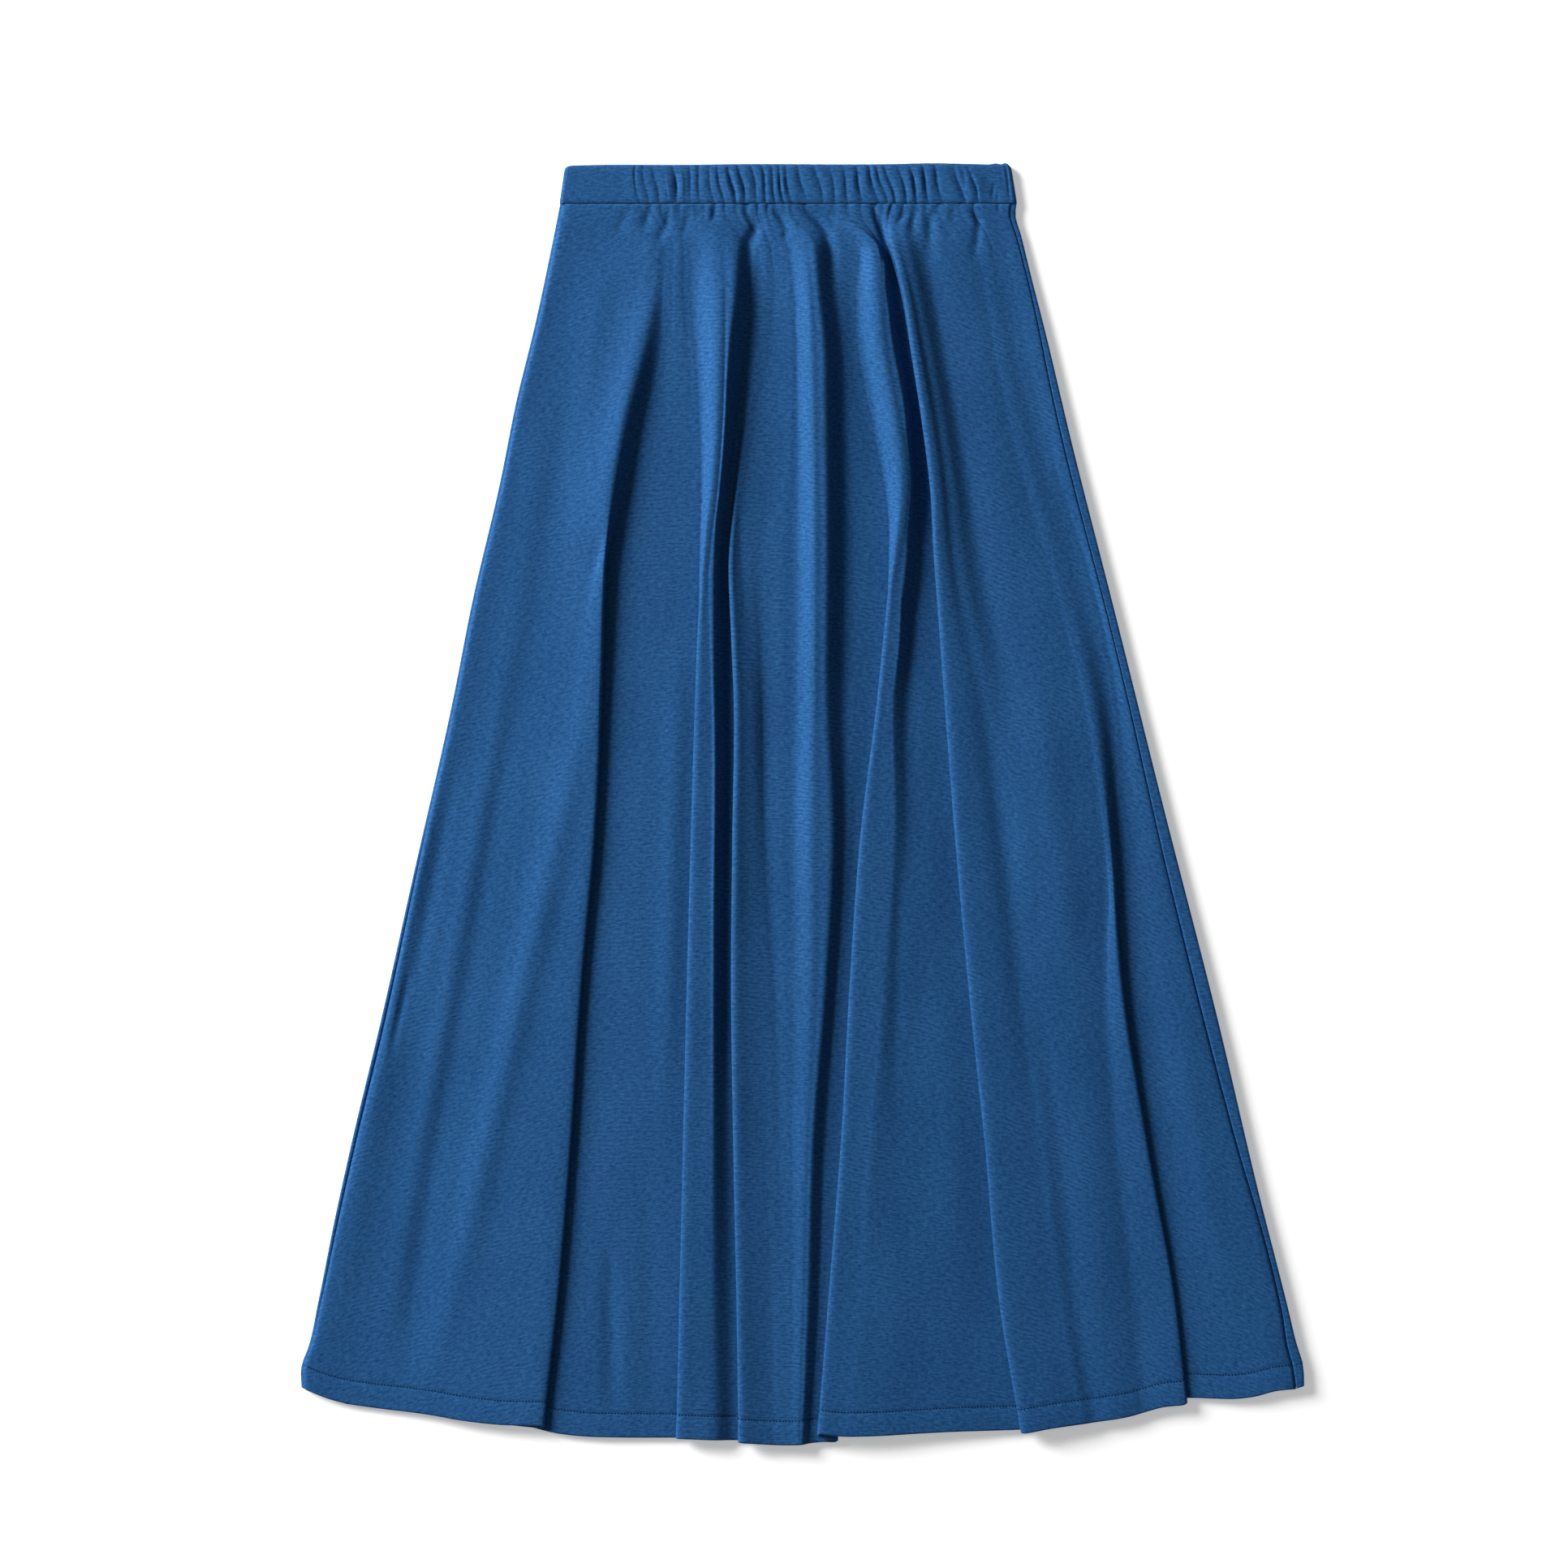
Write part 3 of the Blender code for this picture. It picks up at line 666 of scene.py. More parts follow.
@dataclass(frozen=True)
class Outline:
    """The skirt's side edges from the waist seam to the hem, and the cloth's heights along them."""

    left: tuple[Place, ...] = rows(
        Place, (28, -179.7), (58, -185.7), (118, -198.5), (172, -211.7), (235, -224.4),
        (322, -244.7), (394, -258.9), (528, -289.1), (637, -313.5), (718, -333.0), (778, -346.3),
        (841, -358.9), (876, -366.7), (887, -370.9), (905, -371.0),
    )
    right: tuple[Place, ...] = rows(
        Place, (28, 158.6), (34, 157.6), (52, 162.1), (82, 169.4), (118, 178.6), (202, 198.6),
        (327, 230.4), (476, 267.6), (631, 307.2), (758, 337.2), (848, 360.0), (872, 365.8),
        (887, 370.4), (903, 371.4),
    )
    seam_inset: tuple[Place, ...] = rows(
        Place, (28, 4.4), (82, 3.2), (158, 5.8), (394, 6.6), (559, 10.2), (640, 10.4), (718, 8.0),
        (790, 4.6), (850, 5.4), (887, 8.0), (903, 6.4),
    )
    left_ledge: tuple[Place, ...] = rows(
        Place, (480, 0.0), (560, 0.9), (640, 1.5), (718, 1.5), (800, 1.0), (870, 0.0),
    )
    left_height: tuple[Place, ...] = rows(
        Place, (28, 4.4), (110, 6.4), (400, 6.0), (720, 5.4), (905, 4.6),
    )
    seam_height: tuple[Place, ...] = rows(Place, (28, 4.3), (110, 5.4), (400, 5.8), (905, 6.2))
    seam_gap: float = 0.3

    def seam_x(self, drop: Number) -> Array:
        """The side seam's place, just inside the right-hand edge."""
        return read(self.right, "value", drop) - read(self.seam_inset, "value", drop)


@dataclass(frozen=True)
class Fold:
    """One lapped fold, from a soft slope under the band to cloth that laps over itself."""

    upper_side: UpperSide
    stations: tuple[Station, ...]
    entry: float = 6.0
    leave: float = 5.0
    cover_height: float = 0.86
    leave_height: float = 0.62
    least_roll: float = 1.6
    lapped_from: float = -6.0
    lapped_over: float = 10.0
    rise_to_roll: float = 6.0
    slope_height: float = 0.95
    slope: tuple[Turn, ...] = rows(
        Turn, (1.0, 0, 0.0), (0.8, 0, 0.1), (0.6, 0, 0.35), (0.4, 0, 0.65), (0.2, 0, 0.9),
        (0.0, 0, 1.0),
    )
    lapped: tuple[Turn, ...] = rows(
        Turn, (1, -1, 0.0), (1, 0, 1 / 6), (1, -1, 1 / 3), (0, 1, 2 / 3), (0, 0, 5 / 6),
        (0, 1, 1.0),
    )
    leaf_shares: tuple[float, ...] = (0.0, 0.0, 0.0, 0.2, 0.4, 0.6, 0.8, 1.0, 1.0, 1.0)

    def points(self, leaf: int, drop: Array) -> list[Spot]:
        """Points across the fold, from left to right along the cloth.

        Args:
            leaf: the number of the leaf on its left.
            drop: the drops to read it at.

        Returns:
            Ten points, each as (leaf, x, z).
        """
        columns = (read(self.stations, name, drop) for name in Station._fields[1:])
        edge, overlap, low, rise = columns
        lap = ease((overlap - self.lapped_from) / self.lapped_over)
        roll = np.maximum(self.least_roll, rise / self.rise_to_roll)
        turns = []
        for soft, sharp in zip(self.slope, self.lapped):
            offset = mix(overlap * soft.run, overlap * sharp.run + roll * sharp.out, lap)
            turns.append((offset, low + rise * mix(soft.up, sharp.up, lap)))
        entry = (np.minimum(overlap, 0) - self.entry, low)
        leave_z = low + rise * mix(self.slope_height, self.leave_height, lap)
        leave = (np.maximum(overlap, 0) + self.leave, leave_z)
        hidden = ((entry[0] + turns[0][0]) / 2, low)
        cover = ((turns[-1][0] + leave[0]) / 2, low + rise * mix(1.0, self.cover_height, lap))
        across = [entry, hidden, *turns, cover, leave]
        side = self.upper_side.value
        if self.upper_side is UpperSide.LEFT:
            across.reverse()
        return [
            (leaf + share, edge + side * offset, z)
            for share, (offset, z) in zip(self.leaf_shares, across)
        ]


@dataclass(frozen=True)
class Folds:
    """The six folds, from left to right."""

    first_over_second: Fold = Fold(UpperSide.LEFT, rows(
        Station, (28, -106, -6, 4.4, 0.4), (60, -108, -7, 6.0, 0.5), (90, -110, -8, 6.2, 1.0),
        (128, -118, -14, 5.4, 5.2), (160, -125.5, -15, 4.8, 8.2), (188, -132, -14, 4.6, 9.6),
        (220, -138, -12, 4.6, 10.4), (255, -142.5, -7, 4.4, 10.0), (311, -146, 6, 4.2, 8.6),
        (394, -148.5, 18, 4.0, 6.6), (497, -153.5, 30, 3.8, 5.8), (600, -163, 40, 3.6, 5.4),
        (718, -171, 50, 3.4, 5.0), (838, -181, 56, 3.3, 4.8), (932, -191.5, 60, 3.2, 4.6),
    ))
    third_over_second: Fold = Fold(
        UpperSide.RIGHT, cover_height=0.98, leave_height=0.94, stations=rows(
        Station, (28, -67, -14, 4.4, 1.5), (60, -64, -18, 6.0, 3.0), (94, -62, -20, 6.0, 8.0),
        (130, -62, -17, 5.4, 10.0), (188, -63.5, -12, 4.8, 10.5), (240, -67.5, -7, 4.6, 10.0),
        (285, -73, -2, 4.4, 9.0), (340, -77, 3, 4.2, 8.4), (394, -79, 7, 4.0, 7.8),
        (580, -84.5, 12, 3.6, 6.8), (788, -89.5, 16, 3.3, 6.2), (941, -93, 18, 3.1, 6.0),
    ))
    fourth_over_third: Fold = Fold(UpperSide.RIGHT, entry=5.0, cover_height=0.8, stations=rows(
        Station, (28, -33, -8, 4.6, 0.8), (58, -28, -6, 4.0, 0.8), (94, -26, -9, 3.0, 1.2),
        (130, -29, -9, 3.0, 1.2), (188, -40, -6, 3.0, 1.6), (240, -48.5, -2, 3.4, 3.2),
        (285, -54, 3, 2.6, 6.6), (346, -52.5, 7, 2.2, 8.8), (394, -50.5, 9, 2.2, 9.4),
        (497, -51.5, 12, 2.2, 9.4), (600, -52.5, 16, 2.3, 8.8), (718, -51, 19, 2.8, 7.6),
        (838, -48.5, 20, 3.2, 6.8), (944, -47, 20, 3.4, 6.4),
    ))
    fifth_over_fourth: Fold = Fold(
        UpperSide.RIGHT, entry=4.0, cover_height=0.98, leave_height=0.95, stations=rows(
        Station, (28, 34, -8, 4.6, 1.5), (58, 50, -9, 5.0, 6.0), (94, 54, -14, 5.0, 9.0),
        (130, 57, -16, 4.8, 10.5), (188, 67.5, -16, 4.6, 11.2), (240, 72.5, -11, 4.6, 11.2),
        (262, 71, -7, 4.6, 10.6), (288, 67.5, -3, 4.5, 9.8), (320, 63, 2, 4.4, 8.8),
        (350, 60, 4, 4.2, 8.2), (394, 55.5, 4, 4.0, 7.6), (497, 43, 16, 4.0, 6.6),
        (600, 35.5, 17, 4.0, 6.2), (718, 29, 14, 4.0, 6.0), (838, 19.5, 14, 4.0, 5.8),
        (937, 11.5, 14, 4.0, 5.8),
    ))
    sixth_over_fifth: Fold = Fold(
        UpperSide.RIGHT, entry=3.0, leave=7.0, cover_height=0.95, leave_height=0.74, stations=rows(
        Station, (28, 56, -4, 4.6, 1.5), (58, 65, -2, 4.4, 7.0), (94, 74, 0, 4.2, 10.0),
        (130, 79, 2, 4.0, 11.6), (188, 88, 4, 4.0, 11.8), (240, 94.5, 5, 4.0, 11.2),
        (286, 97, 7, 4.0, 10.4), (320, 99.5, 10, 4.0, 9.8), (394, 105, 20, 4.0, 9.0),
        (497, 113, 26, 4.0, 7.8), (628, 125, 30, 4.0, 6.8), (718, 134.5, 32, 4.0, 6.4),
        (850, 147, 34, 4.0, 6.2), (937, 162, 36, 4.0, 6.2),
    ))
    sixth_over_seventh: Fold = Fold(UpperSide.LEFT, rows(
        Station, (28, 128, -10, 4.4, 0.4), (200, 160, -14, 5.0, 1.2), (330, 196, -18, 4.6, 1.8),
        (394, 212, -15, 4.4, 4.0), (507, 228, -4, 4.0, 6.2), (611, 237, 8, 3.8, 5.8),
        (718, 254, 18, 3.7, 4.4), (850, 277, 26, 3.6, 3.5), (916, 284, 28, 3.5, 3.4),
    ))

    def all(self) -> tuple[Fold, ...]:
        """The folds in order.

        Returns:
            The six folds, from left to right.
        """
        return (
            self.first_over_second, self.third_over_second, self.fourth_over_third,
            self.fifth_over_fourth, self.sixth_over_fifth, self.sixth_over_seventh,
        )


@dataclass(frozen=True)
class Gathers:
    """The creases of the ruched band, and how the cloth below carries them on."""

    pleats: tuple[Pleat, ...] = rows(
        Pleat, (-119.4, 0.9, 14), (-112.0, 0.8, 14), (-104.4, 0.8, 14), (-90.4, 1.5, 16),
        (-79.4, 0.8, 14), (-73.0, 0.9, 12), (-64.0, 0.9, 14), (-57.4, 1.1, 12), (-49.0, 1.7, 18),
        (-41.8, 1.4, 20), (-32.8, 1.1, 22), (-25.6, 1.6, 22), (-19.0, 1.2, 20), (-13.4, 1.4, 18),
        (-8.2, 0.9, 12), (2.0, 0.9, 14), (14.4, 1.2, 24), (24.0, 0.9, 14), (33.6, 0.9, 12),
        (43.8, 1.2, 20), (54.2, 1.5, 24), (60.1, 1.2, 20), (66.1, 1.4, 18), (75.2, 1.2, 16),
        (83.0, 1.4, 20), (91.8, 1.5, 24), (101.4, 1.4, 22), (116.6, 1.5, 18), (126.8, 1.3, 24),
    )
    creases: tuple[Crease, ...] = rows(
        Crease,
        (((-128, 30), (-135, 45), (-139, 53)), 0.8, 3.0),
        (((-113, 29), (-116, 42), (-121, 50)), 1.2, 2.8),
        (((-99, 31), (-100, 42), (-105, 52), (-109, 60)), 1.3, 2.9),
        (((-84.6, 30), (-86, 45), (-90, 52)), 0.9, 2.6),
        (((-78, 31), (-75.4, 40)), 0.7, 2.2),
        (((-65.4, 29), (-66, 38), (-69, 43)), 1.4, 2.2),
        (((-43.5, 28), (-36, 42), (-36, 49), (-40, 58), (-42, 74), (-42, 100)), 3.2, 4.0),
        (((-32, 30), (-29, 42), (-27, 54)), 0.7, 2.4),
        (((-23, 29), (-14.3, 41), (-11.6, 49), (-16, 59)), 2.4, 2.8),
        (((-2, 29), (7, 36), (15, 45), (20, 58), (22, 78), (25, 104)), 3.0, 3.8),
        (((20, 32), (22, 44), (24, 54)), 0.8, 2.6),
        (((52, 29), (57, 42), (61.5, 57), (66.5, 71), (74, 96)), 3.4, 3.0),
        (((74.8, 32), (74, 38), (67, 45)), 1.2, 2.4),
        (((85, 30), (80.6, 46), (80, 58)), 1.5, 2.6),
        (((98, 30), (94.7, 42), (94, 57), (93.4, 80)), 1.8, 3.2),
        (((110.5, 31), (112.6, 46)), 0.8, 2.4),
        (((123.5, 30), (130, 41), (128.6, 58), (125.6, 76)), 1.6, 3.0),
        (((143.6, 28), (145, 31), (146.4, 35)), 0.8, 1.5),
    )
    depth_share: float = 0.62
    run_share: float = 1.15
    side_fade: float = 12.0
    left_reach: float = 12.0
    right_reach: float = 16.0
    run_power: float = 1.3
    spread_gain: float = 1.6
    spread_loss: float = 0.4
    round_power: float = 0.9
    round_level: float = 0.6

    def phase(self, x: Number) -> Array:
        """Which pleat x is at: a whole number at a crease and a half between two."""
        places = np.array([pleat.x for pleat in self.pleats], float)
        return np.interp(x, places, np.arange(len(places)), left=-0.5, right=len(places) - 0.5)

    def nearest(self, phase: Array, column: str) -> Array:
        """A column of the nearest pleat."""
        values = np.array([getattr(pleat, column) for pleat in self.pleats], float)
        return values[np.clip(np.round(phase).astype(int), 0, len(values) - 1)]

    def lift(self, seam_x: Array, x: Array, drop: Array) -> Array:
        """How far the gathers lift or press the cloth below the band.

        Args:
            seam_x: where each point's thread of cloth meets the band.
            x: the points' places across.
            drop: the points' drops.

        Returns:
            The lift at each point, negative in a crease.
        """
        phase = self.phase(seam_x)
        left, right = self.pleats[0].x - self.left_reach, self.pleats[-1].x + self.right_reach
        inside = ease((seam_x - left) / self.side_fade) * ease((right - seam_x) / self.side_fade)
        run = self.run_share * self.nearest(phase, "run")
        fade = np.exp(-((np.maximum(drop - SEAM_DROP, 0.0) / run) ** self.run_power))
        spread = np.gradient(x, axis=1) / np.maximum(np.gradient(seam_x, axis=1), 1e-6)
        fade *= np.clip(self.spread_gain * spread - self.spread_loss, 0.0, 1.0)
        round_top = np.abs(np.sin(np.pi * phase)) ** self.round_power - self.round_level
        uneven = 1.0 + 0.5 * np.sin(seam_x / 5.3 + drop / 17.0)
        lift = self.depth_share * self.nearest(phase, "depth") * round_top * uneven * inside * fade
        for crease in self.creases:
            lift = lift - crease_depth(crease, x, drop)
        return lift


@dataclass(frozen=True)
class OpenLeaf:
    """A leaf with no ridge of its own: how it crowns, and how it falls or climbs to its end."""

    number: int
    columns: int
    crown: float
    fall: float = 1.0
    climb: float = 1.0
    climb_power: float = 1.7

    def share_down(self, share: float) -> float:
        """How far its height has gone to its last: early where it falls, late where it climbs.

        Args:
            share: the share of the way across the leaf.

        Returns:
            The share of the way from its first height to its last.
        """
        if self.climb > 1:
            return max(0.0, 1 - self.climb * (1 - share)) ** self.climb_power
        return float(ease(self.fall * share))

    def points(self, start: Spot, end: Spot) -> list[Spot]:
        """Points across the leaf.

        Args:
            start: the point it begins at.
            end: the point it ends at.

        Returns:
            The points between the two.
        """
        found = []
        for share in ((k + 1) / (self.columns + 1) for k in range(self.columns)):
            height = mix(start[2], end[2], self.share_down(share))
            height = height + self.crown * 4 * share * (1 - share)
            found.append((self.number, mix(start[1], end[1], share), height))
        return found


@dataclass(frozen=True)
class Panel:
    """What both panels share: their outline, the cloth's wall and the depth of the hem."""

    outline: Outline = Outline()
    wall: float = 1.0
    hem_wall: float = 1.6
    hem_depth: float = 17.5
    top: float = 28.3


@dataclass(frozen=True)
class FrontPanel(Panel):
    """The gathered front panel, rolled round the left edge and lapped into seven leaves."""

    folds: Folds = Folds()
    gathers: Gathers = Gathers()
    gather_end: float = 112.0
    gather_rows: int = 50
    body_rows: int = 140
    seam_level: float = 5.2
    settle: float = 34.0
    lowest: float = 1.55
    lowest_softness: float = 0.3
    longest_step: float = 3.6
    step_counts: tuple[int, int] = (2, 9)
    least_span: float = 2.4
    shoulder_margin: float = 1.2
    roll_width: float = 6.0
    leaf_end_fade: float = 8.0
    wave_fade: float = 2.5
    ripple_height: float = 0.35
    ripple_size: float = 26.0
    ripple_stretch: float = 2.6
    ripple_seed: float = 3.0
    ripple_from: float = 40.0
    ripple_over: float = 60.0
    cut_radius: float = 470.0
    seam_rows: tuple[float, ...] = (-3.6, -1.8, -0.8, 0.0, 0.8, 1.8)
    hem_rows: tuple[float, ...] = (12.5, 9.0, 5.5, 2.6, 1.0, 0.0)
    stitch_walls: tuple[float, ...] = (0.8, 0.45, 0.85, 1.1, 1.35)
    seam_dip: tuple[float, ...] = (0.05, 0.25, 0.55)
    seam_tuck: float = 1.4
    hem_round: float = 0.45
    under_band: tuple[tuple[float, float], ...] = ((1.6, -2.2), (0.5, -0.8))
    flat_size: tuple[float, float] = (1.22, 0.94)
    flat_area: float = 0.76
    first_leaf: OpenLeaf = OpenLeaf(1, columns=10, crown=-1.3, climb=1.7)
    second_leaf: OpenLeaf = OpenLeaf(2, columns=5, crown=0.3, fall=1.6)
    sixth_leaf: OpenLeaf = OpenLeaf(6, columns=10, crown=1.5, fall=3.4)
    seventh_leaf: OpenLeaf = OpenLeaf(7, columns=4, crown=0.2)
    rolls: tuple[Roll, ...] = rows(
        Roll, (6.0, 0.5, 0, 0, 0), (1.8, 0.55, 0, 0, 0), (0.5, 1.9, 0, 0, 0), (1.4, 3.1, 0, 0, 0),
        (2.1, 3.4, 1, 0, -0.9), (3.4, 0.0, 1, 1, 0), (7.2, 0.1, 1, 1, 0),
    )
    shoulder: tuple[Ridge, ...] = rows(
        Ridge, (44, -49, 5.4), (58, -49, 7.4), (74, -49.5, 11.0), (94, -50, 13.8), (130, -54, 15.5),
        (188, -58, 15.5), (240, -62.5, 14.4), (285, -65.2, 13.2), (346, -66, 12.4),
        (394, -66, 11.8), (497, -66, 11.0), (600, -66, 10.2), (718, -66, 9.2), (838, -65, 8.4),
        (944, -63, 7.8),
    )
    trough: tuple[Ridge, ...] = rows(
        Ridge, (44, -20, 5.6), (94, -14, 4.9), (130, -13, 4.9), (188, -15, 5.1), (240, -22, 5.2),
        (285, -31, 5.5), (346, -30, 5.3), (394, -29, 5.2), (497, -27, 5.9), (600, -20.5, 6.3),
        (718, -17, 7.0), (838, -14, 7.6), (944, -14, 7.6),
    )
    foot: tuple[Ridge, ...] = rows(
        Ridge, (44, -12, 6.2), (94, -5, 5.7), (130, -3.5, 5.5), (188, -2.5, 5.6), (240, -2, 5.8),
        (286, -2, 5.9), (346, -2.5, 5.9), (394, -3, 6.0), (497, -5, 6.5), (600, -5, 7.2),
        (718, -7, 7.6), (838, -7, 7.9), (944, -9, 7.8),
    )
    crest: tuple[Ridge, ...] = rows(
        Ridge, (44, -2, 8.5), (94, 4, 13.6), (130, 5.5, 14.7), (188, 7, 15.0), (240, 8, 15.2),
        (286, 8, 15.0), (346, 8, 14.2), (394, 7.5, 13.2), (497, 5.5, 11.6), (600, 6, 10.6),
        (718, 2, 9.8), (838, -1.0, 9.0), (944, -4, 8.4),
    )
    brow: tuple[Ridge, ...] = rows(
        Ridge, (44, 6, 8.5), (58, 8, 11.0), (94, 11.5, 14.0), (130, 15.5, 14.8), (188, 16.8, 15.0),
        (240, 17.6, 15.0), (286, 18, 14.6), (346, 17.5, 13.8), (394, 17.5, 12.8), (497, 22, 11.2),
        (600, 17, 10.4), (718, 7.5, 9.8), (838, 4, 8.9), (944, -0.5, 8.2),
    )
    valley: tuple[Ridge, ...] = rows(
        Ridge, (44, 16, 6.0), (58, 18, 6.0), (94, 22.5, 6.0), (130, 27, 5.7), (188, 29, 5.5),
        (286, 29.5, 5.5), (394, 29, 5.4), (497, 29.5, 5.2), (600, 24, 4.6), (718, 15.5, 4.4),
        (838, 11.5, 4.2), (944, 6, 4.4),
    )
    fifth_brow: tuple[Ridge, ...] = rows(
        Ridge, (44, 46, 6.2), (58, 50, 8.6), (74, 55, 11.4), (94, 61, 13.0), (130, 66, 14.2),
        (188, 76, 14.6), (240, 77, 14.2), (286, 77, 13.2), (346, 70, 12.0), (394, 67, 11.0),
        (497, 68, 10.2), (600, 61, 9.8), (718, 51, 9.8), (838, 44, 9.6), (944, 36, 9.6),
    )
    fifth_foot: tuple[Ridge, ...] = rows(
        Ridge, (44, 52, 4.9), (58, 57.5, 4.5), (94, 67.5, 4.2), (130, 73, 4.2), (188, 81.5, 4.2),
        (240, 83.5, 4.2), (286, 84, 4.2), (346, 80, 4.4), (394, 77, 5.4), (497, 77.5, 7.4),
        (600, 79, 7.0), (718, 72, 7.6), (838, 66, 9.0), (944, 56, 9.2),
    )
    waves: tuple[Wave, ...] = rows(
        Wave, (1, 60, -148, 220, -166, 13, 1.6), (1, 300, -205, 900, -312, 10, 1.7),
        (1, 300, -136, 980, -292, 11, 2.0), (1, 300, -196, 800, -286, 8, -0.7),
        (1, 140, -184, 420, -222, 13, 1.2), (1, 560, -290, 900, -354, 10, 0.9),
        (1, 420, -252, 660, -300, 7, -1.4), (1, 640, -262, 930, -300, 9, -1.1),
        (2, 300, -90, 760, -103, 9, 1.4), (2, 700, -116, 950, -110, 9, -0.6),
        (2, 780, -144, 950, -140, 6, -1.3), (5, 470, 74, 720, 66, 5, -0.8),
        (5, 560, 104, 900, 122, 18, 1.2), (6, 340, 132, 740, 180, 9, -1.3),
        (6, 340, 172, 640, 204, 12, 1.0), (6, 640, 208, 900, 232, 16, 1.0),
        (7, 560, 262, 880, 322, 12, 0.9),
    )
    creases: tuple[Crease, ...] = rows(
        Crease,
        (((-292, 598), (-296, 618), (-302, 644), (-306, 668)), 1.5, 2.4),
    )
    hems: tuple[tuple[Hem, ...], ...] = (
        (),
        rows(
            Hem, (-371, 904), (-350, 912.6), (-340, 915.4), (-320, 918.6), (-284, 923), (-238, 930),
            (-191, 932),
        ),
        rows(
            Hem, (-232, 926), (-204, 932.5), (-191, 936), (-166, 939.8), (-139, 940.8), (-93, 941),
        ),
        rows(Hem, (-93, 941), (-47, 943)),
        rows(Hem, (-47, 944), (-15, 946), (0, 945.6), (14, 944.2), (40, 944.4), (54, 943)),
        rows(Hem, (11, 937.5), (25, 939), (54, 939), (88, 937), (160, 935), (202, 932)),
        rows(Hem, (162, 937), (186, 933), (217, 929), (242, 925), (267, 918), (284, 916)),
        rows(Hem, (256, 914), (284, 911.5), (304, 912), (332, 911), (346, 907), (365, 904.6)),
    )

    def left_roll(self, drop: Array) -> list[Spot]:
        """The cloth round the left edge, from the seam underneath to the top of the first leaf.

        Args:
            drop: the drops to read it at.

        Returns:
            A point for each roll.
        """
        tables = (self.outline.left, self.outline.left_ledge, self.outline.left_height)
        edge, ledge, top = (read(table, "value", drop) for table in tables)
        found = []
        for roll in self.rolls:
            height = roll.height + top * roll.of_top + ledge * roll.groove
            found.append((1, edge + roll.inset + ledge * roll.beyond, height))
        return found

    @staticmethod
    def ridge(leaf: int, table: tuple[Ridge, ...], drop: Array, least: Array, most: Array) -> Spot:
        """A point on a ridge or in a valley, kept between its neighbours."""
        return leaf, np.clip(read(table, "x", drop), least, most), read(table, "height", drop)

    def chain(self, leaf: int, start: Spot, tables: tuple, end: Spot, drop: Array) -> list[Spot]:
        """Points across a leaf through its ridges and valleys.

        Args:
            leaf: the leaf's number.
            start: the point it begins at.
            tables: its ridge and valley lines, from left to right.
            end: the point it ends at.
            drop: the drops to read them at.

        Returns:
            The points between the two ends, each line kept between its neighbours.
        """
        spots = [start]
        for count, table in zip(range(len(tables), 0, -1), tables):
            least, most = spots[-1][1] + self.least_span, end[1] - self.least_span * count
            spots.append(self.ridge(leaf, table, drop, least, most))
        points = []
        for near, far in zip(spots, [*spots[1:], end]):
            points += [(leaf, (near[1] + far[1]) / 2, (near[2] + far[2]) / 2), far]
        return points[:-1]

    def across(self, drop: Array) -> list[Spot]:
        """Every column at a drop, from the left edge to the side seam.

        Args:
            drop: the drops to read them at.

        Returns:
            The columns, each as (leaf, x, z).
        """
        points = self.left_roll(drop)
        folds = [fold.points(n, drop) for n, fold in enumerate(self.folds.all(), start=1)]
        points += self.first_leaf.points(points[-1], folds[0][0]) + folds[0]
        points += self.second_leaf.points(points[-1], folds[1][0]) + folds[1]
        least, most = points[-1][1] + self.shoulder_margin, folds[2][0][1] - self.shoulder_margin
        points += [self.ridge(3, self.shoulder, drop, least, most), *folds[2]]
        fourth = (self.trough, self.foot, self.crest, self.brow, self.valley)
        points += self.chain(4, points[-1], fourth, folds[3][0], drop) + folds[3]
        fifth = (self.fifth_brow, self.fifth_foot)
        points += self.chain(5, points[-1], fifth, folds[4][0], drop) + folds[4]
        points += self.sixth_leaf.points(points[-1], folds[5][0]) + folds[5]
        seam_x = self.outline.seam_x(drop) - self.outline.seam_gap / 2
        seam = (7, seam_x, read(self.outline.seam_height, "value", drop))
        return points + self.seventh_leaf.points(points[-1], seam) + [seam]

    def hem_drop(self, leaf: float, x: float) -> float:
        """The hem's drop on a leaf, or between two leaves on the cloth that joins them.

        Args:
            leaf: the leaf's number, with a share added on a fold.
            x: the place across.

        Returns:
            The hem's drop there.
        """
        lower = math.floor(leaf)
        upper = min(lower + 1, len(self.hems) - 1)
        ends = (read(self.hems[number], "drop", x, "x") for number in (lower, upper))
        return float(mix(*ends, leaf - lower))

    def row_drops(self, hem: float) -> Array:
        """The drops of a column's points, close in the gathers and at the hem's stitches.

        Args:
            hem: the drop of the column's hem edge.

        Returns:
            The drops, in rising order.
        """
        seam = hem - self.hem_depth + np.array(self.seam_rows)
        gathers = np.linspace(self.top, self.gather_end, self.gather_rows, endpoint=False)
        body = np.linspace(self.gather_end, seam[0], self.body_rows, endpoint=False)
        return np.concatenate([gathers, body, seam, hem - np.array(self.hem_rows)])

    def stitch_row(self) -> int:
        """Which row the hem's stitches lie on."""
        return self.gather_rows + self.body_rows + self.seam_rows.index(0.0)

